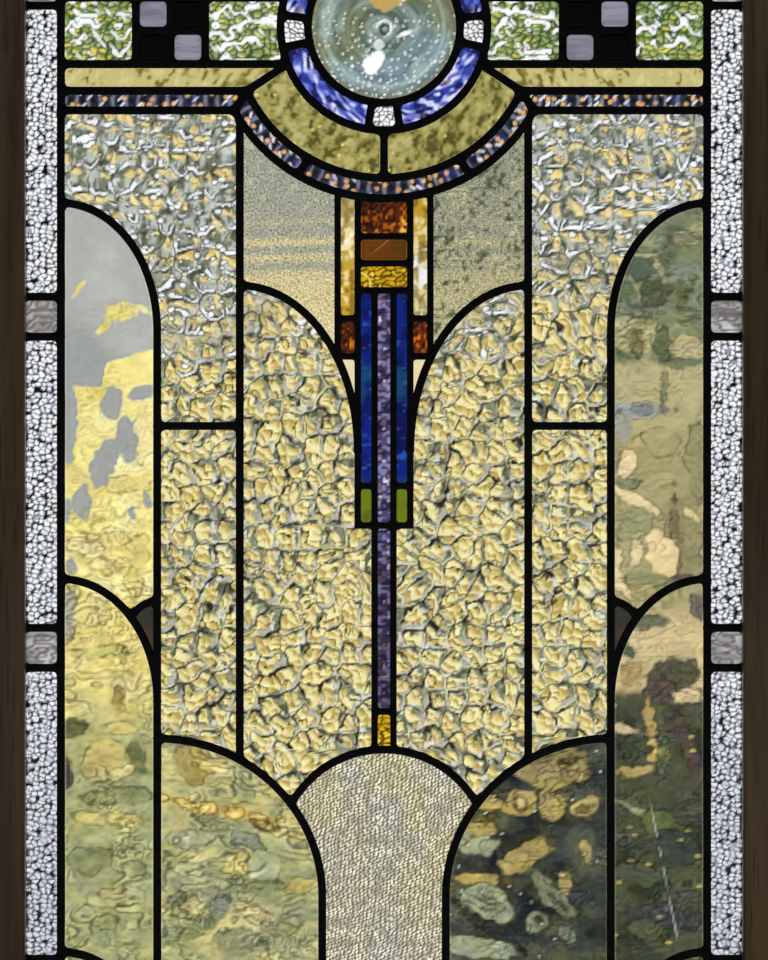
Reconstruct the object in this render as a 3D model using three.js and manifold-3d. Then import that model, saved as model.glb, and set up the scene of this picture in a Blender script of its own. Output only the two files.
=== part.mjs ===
// A leaded stained glass window in its grooved wooden frame, in millimetres.
// The window stands in the XZ plane and its front faces -Y. X is measured from its middle line and
// Z from the underside of the frame, so the origin is the middle of the face it stands on.
// The panes are cut glass held in the channels of H-section lead came, the cames are soldered
// into one net where they cross, and the net's rim sits in a groove all round the frame.
import * as THREE from "three";
import { mergeVertices } from "three/addons/utils/BufferGeometryUtils.js";
import Module from "manifold-3d";

const wasm = await Module();
wasm.setup();

// ---- Driving dimensions ----
// Wooden frame
const SIGHT_X = 268; // half the width of the opening
const SIGHT_Z = 1014; // height of the opening
const MEMBER = 50; // width of each stile and rail
const FRAME_DEPTH = 36;
const ARRIS = 2; // chamfer on the long edges
const GROOVE = 9.5; // how deep the groove for the panel is cut
const GROOVE_OPEN = 6.4;
const FIT = 0.3; // gap kept between pieces that touch

// Lead and glass, front to back
const GLASS = 3;
const CAME_DEPTH = 5.6;
const LEAF = 1; // thickness of a came's front and back leaf
const HEART = 1.2; // thickness of the web between two panes
const FACE = 6; // width of the ordinary came
const FINE_FACE = 4.9; // width of the came round the narrow column
const RIM_FACE = 8; // width of the outer came, most of it hidden in the groove
const RIM_REST = 0.5; // how far the rim came's edge lies behind the opening's edge

// Upright lines of lead, from the middle line outwards
const SPINE_X = 7.05;
const SHAFT_X = 20.6;
const COLUMN_X = 34.35;
const FIELD_X = 108.6;
const ARCH_X = 170;
const BORDER_X = 242.2;
const CHECKER_X = [134, 160, 186];

// Level lines of lead, from the underside of the frame
const BORDER_Z = 25.7; // from each end of the opening
const BAND_Z = 895.5; // middle of the green and checker band
const BAND_HALF = 25;
const OLIVE_DROP = 45; // from the middle of the band to the far edge of the olive strips
const SLATE_DROP = 59.8;
const CROSSBAR_Z = 599.2;
const BLOCKS_Z = [741.3, 721.1, 700.8];
const RUST_Z = [679.8, 651.3];
const LIME_Z = 554.2;
const FOOT_Z = 524.6; // foot of the column
const AMBER_TIP_Z = 385.1;

// The eye: a spun roundel, a ring and a fan on common centre
const EYE_Z = 898.5;
const ROUNDEL_R = 57;
const RING_R = 77.6;
const FAN_R = 113.5;
const RIM_R = 128.6;
const JEWEL_HALF = 9; // half the angle of each white square in the ring, degrees
const RIM_SPLIT = 30; // where the fan's rim is divided, degrees from plumb

// Arches
const TIERS_Z = [766.5, 484.6, 205]; // tops of the three side arches
const TIER_RISE = [95.6, 91.5, 91.5];
const KEY_Z = [447, 167.4]; // centres of the small arcs that cut off the keys
const KEY_R = 21;
const SHOULDER_Z = 704.6; // top of the arches that lean on the column
const SHOULDER_RISE = 123.8;
const WAVE_Z = 365; // top of the arches at the foot
const WAVE_RISE = 118.3;
const STEM_X = 46.3;
const DOME_R = 79.5;
const DOME_Z = 277.2; // centre of the dome over the stem

// Border squares: four up each side, evenly spaced about the middle of the opening
const SQUARE_PITCH = 248.2;
const SQUARE_STEPS = [-1.5, -0.5, 0.5, 1.5];
const SQUARE_HALF = 15;

// Turn between the points of an arc, degrees: finer on a larger radius
const arcStep = (radius) => 90 / (radius > 100 ? 6 : radius > 50 ? 5 : 3);

// ---- Worked out from them ----
const BASE_Z = MEMBER;
const HEAD_Z = MEMBER + SIGHT_Z;
const FRAME_Z = SIGHT_Z + 2 * MEMBER;
const MIDDLE_Z = FRAME_Z / 2;
const BORDER_LOW = BASE_Z + BORDER_Z;
const BORDER_HIGH = HEAD_Z - BORDER_Z;
const RIM_IN = RIM_REST + RIM_FACE / 2;
const RIM_X = SIGHT_X + RIM_IN;
const RIM_LOW = BASE_Z - RIM_IN;
const RIM_HIGH = HEAD_Z + RIM_IN;
const SIDES = { left: -1, right: 1 };

// ---- Lines in the panel's plane, as arrays of points (x, z) ----
const at = (x, z) => new THREE.Vector2(x, z);
const radians = THREE.MathUtils.degToRad;

// Half the width of a circle round the eye at a given height.
const eyeHalf = (r, z) => Math.sqrt(r * r - (z - EYE_Z) ** 2);

// Height of a circle round the eye at a given x, below (-1) or above (1) its centre.
const eyeHeight = (r, x, way) => EYE_Z + way * Math.sqrt(r * r - x * x);

// Part of an ellipse. Angles are in degrees from +X towards +Z, and its inner points always fall on
// whole steps, so two arcs of one circle share them.
function arc(cx, cz, rx, rz, from, to) {
  const way = Math.sign(to - from);
  const step = arcStep(Math.max(rx, rz));
  const angles = [from];
  let next = (way > 0 ? Math.floor(from / step) + 1 : Math.ceil(from / step) - 1) * step;
  while ((to - next) * way > step / 4) {
    if (Math.abs(next - from) > step / 4) angles.push(next);
    next += way * step;
  }
  angles.push(to);
  return angles.map((a) => at(cx + rx * Math.cos(radians(a)), cz + rz * Math.sin(radians(a))));
}

const flip = (path, side) => path.map((p) => at(p.x * side, p.y));
const turned = (path) => [...path].reverse();
const eyeArc = (r, from, to) => arc(0, EYE_Z, r, r, from, to);
const eyeAngle = (p) => THREE.MathUtils.radToDeg(Math.atan2(p.y - EYE_Z, p.x));

// The place between lo and hi where f changes sign.
function crossing(f, lo, hi) {
  for (let i = 0; i < 50; i++) {
    const mid = (lo + hi) / 2;
    if (f(lo) * f(mid) <= 0) hi = mid;
    else lo = mid;
  }
  return (lo + hi) / 2;
}

// ---- Solids ----
function solid(geometry) {
  const bare = geometry.clone();
  bare.deleteAttribute("normal");
  bare.deleteAttribute("uv");
  const merged = mergeVertices(bare, 1e-4);
  const vertProperties = new Float32Array(merged.attributes.position.array);
  const triVerts = new Uint32Array(merged.index.array);
  return new wasm.Manifold(new wasm.Mesh({ numProp: 3, vertProperties, triVerts }));
}

function geometryOf(made) {
  const mesh = made.getMesh();
  const geometry = new THREE.BufferGeometry();
  geometry.setAttribute("position", new THREE.BufferAttribute(mesh.vertProperties, 3));
  geometry.setIndex(new THREE.BufferAttribute(mesh.triVerts, 1));
  geometry.computeVertexNormals();
  return geometry;
}

const joined = (solids) => solids.reduce((sum, next) => sum.add(next));

// The same solid without the needless points that joins and cuts leave on its flat faces.
const TIDY = 0.01;
const tidied = (made) => solid(geometryOf(made)).simplify(TIDY);

// A flat piece cut to an outline, from the front face at y0 to the back face at y1.
function slab(shape, y0, y1) {
  const made = new THREE.ExtrudeGeometry(shape, { depth: y1 - y0, bevelEnabled: false });
  return solid(made.translate(0, 0, -y1).rotateX(Math.PI / 2));
}

// The outline at a distance from an open or closed path, on its left as the path runs.
function beside(path, distance, closed) {
  const count = path.length;
  return path.map((p, i) => {
    const before = closed ? path[(i + count - 1) % count] : path[Math.max(0, i - 1)];
    const after = closed ? path[(i + 1) % count] : path[Math.min(count - 1, i + 1)];
    const come = p.clone().sub(before).normalize();
    const go = after.clone().sub(p).normalize();
    if (!closed && i === 0) come.copy(go);
    if (!closed && i === count - 1) go.copy(come);
    const mid = at(-come.y - go.y, come.x + go.x).normalize();
    const reach = distance / (mid.x * -come.y + mid.y * come.x);
    return p.clone().addScaledVector(mid, reach);
  });
}

// A flat strip of even width along a path.
function strip(path, width, closed) {
  if (!closed) {
    return new THREE.Shape([...beside(path, width / 2), ...turned(beside(path, -width / 2))]);
  }
  const shape = new THREE.Shape(beside(path, -width / 2, true));
  shape.holes.push(new THREE.Path(beside(path, width / 2, true)));
  return shape;
}

// ---- Lines that the cames and the panes share, on the right-hand side ----
// A quarter arch has its flat top at x = top and comes down plumb at x = foot, nearer the middle.
const quarter = (top, z, foot, rise) => ({ top, z, foot, rise });
const quarterArc = (q, from = 90, to = 180) =>
  arc(q.top, q.z - q.rise, q.top - q.foot, q.rise, from, to);
const quarterAngle = (q, x) =>
  THREE.MathUtils.radToDeg(Math.acos((x - q.top) / (q.top - q.foot)));
const quarterHeight = (q, x) =>
  q.z - q.rise + q.rise * Math.sin(radians(quarterAngle(q, x)));

const tiers = TIERS_Z.map((z, i) => quarter(BORDER_X, z, ARCH_X, TIER_RISE[i]));
const shoulder = quarter(FIELD_X, SHOULDER_Z, SHAFT_X, SHOULDER_RISE);
const wave = quarter(ARCH_X, WAVE_Z, STEM_X, WAVE_RISE);
const shoulderAtColumn = quarterAngle(shoulder, COLUMN_X);
const waveAtField = quarterAngle(wave, FIELD_X);

// Where the dome over the stem runs into the wave arch.
const domeHeight = (x) => DOME_Z + Math.sqrt(DOME_R ** 2 - x ** 2);
const domeEndX = crossing((x) => quarterHeight(wave, x) - domeHeight(x), STEM_X, DOME_R);
const domeEnd = THREE.MathUtils.radToDeg(Math.acos(domeEndX / DOME_R));
const waveAtDome = quarterAngle(wave, domeEndX);
const domeArc = (from, to) => arc(0, DOME_Z, DOME_R, DOME_R, from, to);
const spineFoot = THREE.MathUtils.radToDeg(Math.acos(SPINE_X / DOME_R));

// The small arc over each key piece, from the arch line to where it runs into the arch below it.
const keys = KEY_Z.map((z, i) => {
  const tier = tiers[i + 1];
  const point = (a) => at(ARCH_X + KEY_R * Math.cos(radians(a)), z + KEY_R * Math.sin(radians(a)));
  const end = crossing((a) => quarterHeight(tier, point(a).x) - point(a).y, 0, 90);
  return { arc: arc(ARCH_X, z, KEY_R, KEY_R, 90, end), tierAngle: quarterAngle(tier, point(end).x) };
});

// The lines round the eye, below it (-1) and above it (1).
function eyeLines(way) {
  const bandZ = BAND_Z + way * BAND_HALF;
  const oliveZ = BAND_Z + way * OLIVE_DROP;
  const slateZ = BAND_Z + way * SLATE_DROP;
  const root = at(eyeHalf(RING_R, bandZ), bandZ);
  const fanTip = at(eyeHalf(FAN_R, oliveZ), oliveZ);
  const rimTip = at(eyeHalf(RIM_R, slateZ), slateZ);
  const field = at(FIELD_X, eyeHeight(RIM_R, FIELD_X, way));
  return { way, bandZ, oliveZ, slateZ, root, fanTip, rimTip, field };
}
const below = eyeLines(-1);
const above = eyeLines(1);
const across = (line, r, tip) => eyeArc(r, eyeAngle(tip), line.way * 180 - eyeAngle(tip));
// The ring's side squares are centred on the band's middle lead, not on the eye.
const jewelLean = THREE.MathUtils.radToDeg(
  Math.asin((2 * (BAND_Z - EYE_Z)) / (ROUNDEL_R + RING_R)),
);
const shaftTop = at(SHAFT_X, eyeHeight(RIM_R, SHAFT_X, -1));
const columnTop = at(COLUMN_X, eyeHeight(RIM_R, COLUMN_X, -1));

// ---- The cames ----
// Each is a path with the width of its face. A came without a heart only covers a joint on the
// front and back of a plate that carries several small panes.
const cames = [];
function came(path, { face = FACE, heart = true, closed = false } = {}) {
  cames.push({ path, face, heart, closed });
}
function pairOfCames(path, choices) {
  for (const side of Object.values(SIDES)) came(flip(path, side), choices);
}
const fine = { face: FINE_FACE };
const cover = { heart: false };
const fineCover = { face: FINE_FACE, heart: false };

function borderCames() {
  const corners = [
    at(-RIM_X, RIM_LOW),
    at(RIM_X, RIM_LOW),
    at(RIM_X, RIM_HIGH),
    at(-RIM_X, RIM_HIGH),
  ];
  came(corners, { face: RIM_FACE, closed: true });
  pairOfCames([at(BORDER_X, RIM_LOW), at(BORDER_X, RIM_HIGH)]);
  for (const [inner, outer] of [[BORDER_LOW, RIM_LOW], [BORDER_HIGH, RIM_HIGH]]) {
    came([at(-BORDER_X, inner), at(BORDER_X, inner)]);
    pairOfCames([at(BORDER_X, inner), at(RIM_X, inner)], cover);
    pairOfCames([at(SQUARE_HALF, inner), at(SQUARE_HALF, outer)], cover);
  }
  for (const step of SQUARE_STEPS) {
    const middle = MIDDLE_Z + step * SQUARE_PITCH;
    for (const edge of [middle - SQUARE_HALF, middle + SQUARE_HALF]) {
      pairOfCames([at(BORDER_X, edge), at(RIM_X, edge)], cover);
    }
  }
}

function eyeCames() {
  for (const r of [ROUNDEL_R, RING_R]) {
    came(eyeArc(r, 0, 360).slice(0, -1), { closed: true });
  }
  for (const middle of [jewelLean, 90, 180 - jewelLean, 270]) {
    for (const edge of [middle - JEWEL_HALF, middle + JEWEL_HALF]) {
      came([eyeArc(ROUNDEL_R, edge, edge)[0], eyeArc(RING_R, edge, edge)[0]], cover);
    }
  }
  for (const line of [below, above]) {
    const plumb = line.way * 90;
    pairOfCames([at(BORDER_X, line.bandZ), at(line.root.x - HEART, line.bandZ)]);
    pairOfCames([at(BORDER_X, line.oliveZ), line.fanTip]);
    pairOfCames([at(BORDER_X, line.slateZ), line.rimTip]);
    pairOfCames([line.root, line.fanTip, line.rimTip]);
    came(across(line, FAN_R, line.fanTip));
    came(across(line, RIM_R, line.rimTip));
    came([eyeArc(RING_R, plumb, plumb)[0], eyeArc(FAN_R, plumb, plumb)[0]]);
    for (const split of [plumb - RIM_SPLIT, plumb + RIM_SPLIT]) {
      came([eyeArc(FAN_R, split, split)[0], eyeArc(RIM_R, split, split)[0]], cover);
    }
  }
}

function bandCames() {
  CHECKER_X.forEach((x, i) => {
    pairOfCames([at(x, below.bandZ), at(x, above.bandZ)], i === 1 ? cover : {});
  });
  pairOfCames([at(CHECKER_X[0], BAND_Z), at(CHECKER_X[2], BAND_Z)], cover);
}

function fieldCames() {
  pairOfCames([below.field, at(FIELD_X, quarterHeight(wave, FIELD_X))]);
  pairOfCames([above.field, at(FIELD_X, BORDER_HIGH)]);
  came([at(0, EYE_Z + RIM_R), at(0, BORDER_HIGH)]);
  pairOfCames([at(FIELD_X, CROSSBAR_Z), at(ARCH_X, CROSSBAR_Z)]);
  pairOfCames(quarterArc(shoulder));
}

function columnCames() {
  pairOfCames([columnTop, at(COLUMN_X, quarterHeight(shoulder, COLUMN_X))], fine);
  pairOfCames([shaftTop, at(SHAFT_X, FOOT_Z), at(SPINE_X, FOOT_Z)], fine);
  came([at(-SPINE_X, FOOT_Z), at(SPINE_X, FOOT_Z)], fineCover);
  pairOfCames([at(SPINE_X, BLOCKS_Z[2]), at(SPINE_X, domeHeight(SPINE_X))], fine);
  BLOCKS_Z.forEach((z, i) => {
    came([at(-SHAFT_X, z), at(SHAFT_X, z)], i === 2 ? fine : fineCover);
  });
  for (const z of RUST_Z) pairOfCames([at(SHAFT_X, z), at(COLUMN_X, z)], fineCover);
  pairOfCames([at(SPINE_X, LIME_Z), at(SHAFT_X, LIME_Z)], fineCover);
  came([at(-SPINE_X, AMBER_TIP_Z), at(SPINE_X, AMBER_TIP_Z)], fineCover);
}

function archCames() {
  const [high, middle, low] = tiers;
  pairOfCames([at(ARCH_X, high.z - high.rise), at(ARCH_X, BORDER_LOW)]);
  pairOfCames(quarterArc(high));
  pairOfCames(quarterArc(middle));
  pairOfCames(quarterArc(low, 90, keys[1].tierAngle));
  pairOfCames(quarterArc(low, keys[1].tierAngle, 180), cover);
  for (const key of keys) pairOfCames(key.arc);
  pairOfCames([...quarterArc(wave), at(STEM_X, BORDER_LOW)]);
  came(domeArc(domeEnd, 180 - domeEnd));
}

borderCames();
eyeCames();
bandCames();
fieldCames();
columnCames();
archCames();

// ---- The panes: for each plate of glass the lead lines round it, as a closed outline ----
const rectangle = (x0, z0, x1, z1) => [at(x0, z0), at(x1, z0), at(x1, z1), at(x0, z1)];

// Colours of the glass as it looks against the light.
const glassKinds = {
  ripple: { color: 0xb9b48f, opacity: 0.55 },
  granite: { color: 0xb0a888, opacity: 0.6 },
  wavy: { color: 0xb4ab6c, opacity: 0.5 },
  pebble: { color: 0xc9ccd4, opacity: 0.6 },
  green: { color: 0x7ea654, opacity: 0.65 },
  olive: { color: 0xa5a048, opacity: 0.75 },
  slate: { color: 0x494a5e, opacity: 0.85 },
  roundel: { color: 0x93ab94, opacity: 0.5 },
  cobalt: { color: 0x414fb4, opacity: 0.8 },
  checker: { color: 0x55505c, opacity: 0.95 },
  rust: { color: 0x8a4312, opacity: 0.9 },
  amber: { color: 0xd2a43c, opacity: 0.8 },
  blue: { color: 0x14359b, opacity: 0.85 },
  purple: { color: 0x65558c, opacity: 0.85 },
  charcoal: { color: 0x35332f, opacity: 0.95 },
  pinhead: { color: 0xb5ad9b, opacity: 0.7 },
};

// The plates that come in pairs, given for the right-hand side.
const pairedPanes = {
  green_outer: ["green", rectangle(CHECKER_X[2], below.bandZ, BORDER_X, above.bandZ)],
  checker: ["checker", rectangle(CHECKER_X[0], below.bandZ, CHECKER_X[2], above.bandZ)],
  green_inner: [
    "green",
    [
      at(CHECKER_X[0], above.bandZ),
      ...eyeArc(RING_R, eyeAngle(above.root), eyeAngle(below.root)),
      at(CHECKER_X[0], below.bandZ),
    ],
  ],
  head_field: [
    "ripple",
    [
      at(BORDER_X, above.slateZ),
      ...eyeArc(RIM_R, eyeAngle(above.rimTip), eyeAngle(above.field)),
      at(FIELD_X, BORDER_HIGH),
      at(BORDER_X, BORDER_HIGH),
    ],
  ],
  head_centre: [
    "granite",
    [
      ...eyeArc(RIM_R, eyeAngle(above.field), 90),
      at(0, BORDER_HIGH),
      at(FIELD_X, BORDER_HIGH),
    ],
  ],
  shoulder_field: [
    "ripple",
    [
      at(BORDER_X, below.slateZ),
      ...eyeArc(RIM_R, eyeAngle(below.rimTip), eyeAngle(below.field)),
      at(FIELD_X, CROSSBAR_Z),
      at(ARCH_X, CROSSBAR_Z),
      ...quarterArc(tiers[0], 180, 90),
    ],
  ],
  flank_field: [
    "ripple",
    [
      at(ARCH_X, CROSSBAR_Z),
      at(FIELD_X, CROSSBAR_Z),
      ...quarterArc(wave, waveAtField, 90),
    ],
  ],
  grain_panel: [
    "granite",
    [
      ...eyeArc(RIM_R, eyeAngle(below.field), eyeAngle(columnTop)),
      ...quarterArc(shoulder, shoulderAtColumn, 90),
    ],
  ],
  centre_field: [
    "ripple",
    [
      ...quarterArc(shoulder),
      at(SHAFT_X, FOOT_Z),
      at(SPINE_X, FOOT_Z),
      ...turned(domeArc(domeEnd, spineFoot)),
      ...quarterArc(wave, waveAtDome, waveAtField),
    ],
  ],
  column_amber: [
    "amber",
    [
      shaftTop,
      columnTop,
      ...quarterArc(shoulder, shoulderAtColumn, 180),
    ],
  ],
  column_blue: ["blue", rectangle(SPINE_X, FOOT_Z, SHAFT_X, BLOCKS_Z[2])],
  arch_high: [
    "wavy",
    [
      ...quarterArc(tiers[0]),
      ...keys[0].arc,
      ...quarterArc(tiers[1], keys[0].tierAngle, 90),
    ],
  ],
  arch_middle: [
    "wavy",
    [
      ...quarterArc(tiers[1]),
      ...keys[1].arc,
      ...quarterArc(tiers[2], keys[1].tierAngle, 90),
    ],
  ],
  arch_key: ["charcoal", [...keys[0].arc, ...quarterArc(tiers[1], keys[0].tierAngle, 180)]],
  arch_low: [
    "wavy",
    [
      ...quarterArc(tiers[2], 90, keys[1].tierAngle),
      ...turned(keys[1].arc),
      at(ARCH_X, BORDER_LOW),
      at(BORDER_X, BORDER_LOW),
    ],
  ],
  wave: ["wavy", [...quarterArc(wave), at(STEM_X, BORDER_LOW), at(ARCH_X, BORDER_LOW)]],
  border: ["pebble", rectangle(BORDER_X, RIM_LOW, RIM_X, RIM_HIGH)],
};
for (const [place, line] of Object.entries({ lower: below, upper: above })) {
  const plumb = line.way * 90;
  pairedPanes["olive_strip_" + place] = [
    "olive",
    [at(BORDER_X, line.bandZ), line.root, line.fanTip, at(BORDER_X, line.oliveZ)],
  ];
  pairedPanes["slate_strip_" + place] = [
    "slate",
    [at(BORDER_X, line.oliveZ), line.fanTip, line.rimTip, at(BORDER_X, line.slateZ)],
  ];
  pairedPanes["fan_" + place] = [
    "olive",
    [
      ...eyeArc(FAN_R, eyeAngle(line.fanTip), plumb),
      ...eyeArc(RING_R, plumb, eyeAngle(line.root)),
    ],
  ];
}

// The plates on the middle line.
const stemHalf = [
  at(STEM_X, BORDER_LOW),
  ...quarterArc(wave, 180, waveAtDome),
  ...domeArc(domeEnd, 90).slice(1),
];
const middlePanes = {
  roundel: ["roundel", eyeArc(ROUNDEL_R, 0, 360).slice(0, -1)],
  ring: ["cobalt", eyeArc(RING_R, 0, 360).slice(0, -1), eyeArc(ROUNDEL_R, 0, 360).slice(0, -1)],
  column_blocks: [
    "rust",
    [
      at(-SHAFT_X, BLOCKS_Z[2]),
      at(SHAFT_X, BLOCKS_Z[2]),
      ...eyeArc(RIM_R, eyeAngle(shaftTop), -180 - eyeAngle(shaftTop)),
    ],
  ],
  column_spine: [
    "purple",
    [at(-SPINE_X, BLOCKS_Z[2]), ...domeArc(180 - spineFoot, spineFoot), at(SPINE_X, BLOCKS_Z[2])],
  ],
  stem: ["pinhead", [...stemHalf, ...turned(flip(stemHalf, -1)).slice(1)]],
  border_top: ["pebble", rectangle(-BORDER_X, BORDER_HIGH, BORDER_X, RIM_HIGH)],
  border_bottom: ["pebble", rectangle(-BORDER_X, RIM_LOW, BORDER_X, BORDER_LOW)],
};
for (const [place, line] of Object.entries({ lower: below, upper: above })) {
  middlePanes["fan_rim_" + place] = [
    "slate",
    [...across(line, FAN_R, line.fanTip), ...turned(across(line, RIM_R, line.rimTip))],
  ];
}

// ---- Materials ----
const lead = new THREE.MeshStandardMaterial({ color: 0x17181b, roughness: 0.55, metalness: 0.6 });
const wood = new THREE.MeshStandardMaterial({ color: 0x30261e, roughness: 0.5, metalness: 0 });
const glassMaterial = (kind) =>
  new THREE.MeshStandardMaterial({
    color: glassKinds[kind].color,
    opacity: glassKinds[kind].opacity,
    roughness: 0.15,
    metalness: 0,
    transparent: true,
  });

function piece(name, geometry, material) {
  const mesh = new THREE.Mesh(geometry, material);
  mesh.name = name;
  return mesh;
}

// ---- Lead net ----
// Each leaf reaches a little into the heart's depth, so that the three layers join into one solid.
const LAP = 0.3;
const leafIn = CAME_DEPTH / 2 - LEAF;
const shapeOf = (line, width) => strip(line.path, width, line.closed);

function leadNet() {
  const hearts = cames.filter((line) => line.heart);
  const core = joined(hearts.map((line) => slab(shapeOf(line, HEART), -leafIn - LAP, leafIn + LAP)));
  const front = joined(cames.map((line) => slab(shapeOf(line, line.face), -CAME_DEPTH / 2, -leafIn)));
  const back = joined(cames.map((line) => slab(shapeOf(line, line.face), leafIn, CAME_DEPTH / 2)));
  return tidied(core.add(front).add(back));
}

// ---- Glass ----
// The room that the hearts and the fit round them take out of the glass.
const kerf = joined(
  cames
    .filter((line) => line.heart)
    .map((line) => slab(shapeOf(line, HEART + 2 * FIT), -GLASS, GLASS)),
);

function pane(outline, hole) {
  const shape = new THREE.Shape(outline);
  if (hole) shape.holes.push(new THREE.Path(hole));
  return tidied(slab(shape, -GLASS / 2, GLASS / 2).subtract(kerf));
}

function panes() {
  const group = new THREE.Group();
  for (const [name, [kind, outline]] of Object.entries(pairedPanes)) {
    for (const [place, side] of Object.entries(SIDES)) {
      const made = geometryOf(pane(flip(outline, side)));
      group.add(piece(name + "_" + place, made, glassMaterial(kind)));
    }
  }
  for (const [name, [kind, outline, hole]] of Object.entries(middlePanes)) {
    group.add(piece(name, geometryOf(pane(outline, hole)), glassMaterial(kind)));
  }
  return group;
}

// ---- Wooden frame ----
// The section of a stile or rail: a is measured from its outer face to the opening, b through the
// depth. The groove opens on the inner face.
function memberSection() {
  const deep = FRAME_DEPTH / 2;
  const open = GROOVE_OPEN / 2;
  return new THREE.Shape(
    [
      [ARRIS, -deep],
      [MEMBER - ARRIS, -deep],
      [MEMBER, ARRIS - deep],
      [MEMBER, -open],
      [MEMBER - GROOVE, -open],
      [MEMBER - GROOVE, open],
      [MEMBER, open],
      [MEMBER, deep - ARRIS],
      [MEMBER - ARRIS, deep],
      [ARRIS, deep],
      [0, deep - ARRIS],
      [0, ARRIS - deep],
    ].map(([a, b]) => at(a, b)),
  );
}

// A stile runs the full height. The rails stop at the stiles, with a tongue at each end that fills
// the stile's groove.
function stile() {
  const made = new THREE.ExtrudeGeometry(memberSection(), { depth: FRAME_Z, bevelEnabled: false });
  return made.translate(-SIGHT_X - MEMBER, 0, 0);
}

function rail() {
  const length = 2 * (SIGHT_X - FIT);
  const made = new THREE.ExtrudeGeometry(memberSection(), { depth: length, bevelEnabled: false });
  made.translate(0, 0, -length / 2);
  const stand = new THREE.Matrix4().makeBasis(
    new THREE.Vector3(0, 0, 1),
    new THREE.Vector3(0, 1, 0),
    new THREE.Vector3(-1, 0, 0),
  );
  const reach = 2 * (SIGHT_X + GROOVE - FIT);
  const height = MEMBER - GROOVE - ARRIS;
  const tongue = new THREE.BoxGeometry(reach, GROOVE_OPEN - 2 * FIT, height);
  tongue.translate(0, 0, ARRIS + height / 2);
  return geometryOf(solid(made.applyMatrix4(stand)).add(solid(tongue)));
}

function woodenFrame() {
  const group = new THREE.Group();
  const left = piece("stile_left", stile(), wood);
  const right = piece("stile_right", stile(), wood);
  right.rotation.z = Math.PI;
  const bottom = piece("rail_bottom", rail(), wood);
  const top = piece("rail_top", rail(), wood);
  top.rotation.y = Math.PI;
  top.position.z = FRAME_Z;
  group.add(left, right, bottom, top);
  return group;
}

// ---- The window ----
const panel = new THREE.Group();
panel.add(piece("lead_came", geometryOf(leadNet()), lead), panes());

const stainedGlassWindow = new THREE.Group();
stainedGlassWindow.add(woodenFrame(), panel);

export default stainedGlassWindow;
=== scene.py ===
"""A leaded stained glass window in its wooden frame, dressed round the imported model.

The panes, the lead and the wood are laid out in the plane of the window, as x across and z up,
in millimetres, and each mesh is turned into metres when it is made. The front faces -Y.
"""

import math
from collections import namedtuple

import bpy
import numpy as np
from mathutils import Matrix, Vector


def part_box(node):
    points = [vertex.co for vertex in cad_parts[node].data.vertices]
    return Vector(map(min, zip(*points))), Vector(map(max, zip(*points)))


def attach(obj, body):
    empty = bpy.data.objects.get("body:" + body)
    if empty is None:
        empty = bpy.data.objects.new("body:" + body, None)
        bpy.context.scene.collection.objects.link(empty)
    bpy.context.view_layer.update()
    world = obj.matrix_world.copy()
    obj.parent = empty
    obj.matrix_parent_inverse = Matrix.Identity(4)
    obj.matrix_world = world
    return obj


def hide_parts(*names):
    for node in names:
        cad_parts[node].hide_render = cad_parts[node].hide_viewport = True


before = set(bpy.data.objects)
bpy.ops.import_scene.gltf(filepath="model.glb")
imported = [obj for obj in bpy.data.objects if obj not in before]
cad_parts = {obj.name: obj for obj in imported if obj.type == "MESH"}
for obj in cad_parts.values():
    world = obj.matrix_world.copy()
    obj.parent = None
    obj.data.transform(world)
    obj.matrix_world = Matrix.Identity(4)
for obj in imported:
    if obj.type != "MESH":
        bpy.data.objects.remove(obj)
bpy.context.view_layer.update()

# ---- The wooden frame --------------------------------------------------------------------------
# Four members of a close-grained wood, stained dark brown and thinly varnished. The two upright
# stiles run the full height and the rails are tenoned between them. A groove all round the inner
# face holds the leaded panel.
MM = 0.001
ARRIS = 2  # radius that the long edges are eased to
GROOVE_OPEN = 6.4
GROOVE_DEEP = 9.5
HAIRLINE = 0.3  # joint between a rail's shoulder and the stile
GRAIN_RUN = 0.045  # scale of the grain along a member, against 1 across it


def node_box(node):
    """A node's box in the plane of the window: its left, right, bottom and top, in millimetres."""
    low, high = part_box(node)
    return low[0] / MM, high[0] / MM, low[2] / MM, high[2] / MM


FRAME_X, SIGHT_X, FRAME_LOW, FRAME_HIGH = (abs(edge) for edge in node_box("stile_left"))
MEMBER = FRAME_X - SIGHT_X
FRAME_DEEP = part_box("stile_left")[1][1] / MM  # half the depth of the frame


def add_piece(name, points, faces, material, slot, nodes, flat=()):
    """A closed mesh that rides on the window and stands for the nodes.

    points are in millimetres, faces a list of arrays with one face in each row, and flat the
    places in that list whose faces keep their hard edges.
    """
    mesh = bpy.data.meshes.new(name)
    sizes = np.concatenate([np.full(len(part), part.shape[1]) for part in faces])
    corners = np.concatenate([part.ravel() for part in faces])
    smooth = np.concatenate([np.full(len(part), i not in flat) for i, part in enumerate(faces)])
    mesh.vertices.add(len(points))
    mesh.loops.add(len(corners))
    mesh.polygons.add(len(sizes))
    mesh.vertices.foreach_set("co", (points * MM).astype(np.float32).ravel())
    mesh.loops.foreach_set("vertex_index", corners.astype(np.int32))
    mesh.polygons.foreach_set("loop_start", (np.cumsum(sizes) - sizes).astype(np.int32))
    mesh.polygons.foreach_set("use_smooth", smooth)
    mesh.update(calc_edges=True)
    mesh.materials.append(material)
    piece = bpy.data.objects.new(name, mesh)
    bpy.context.collection.objects.link(piece)
    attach(piece, "root")
    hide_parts(*nodes)
    return piece


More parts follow.
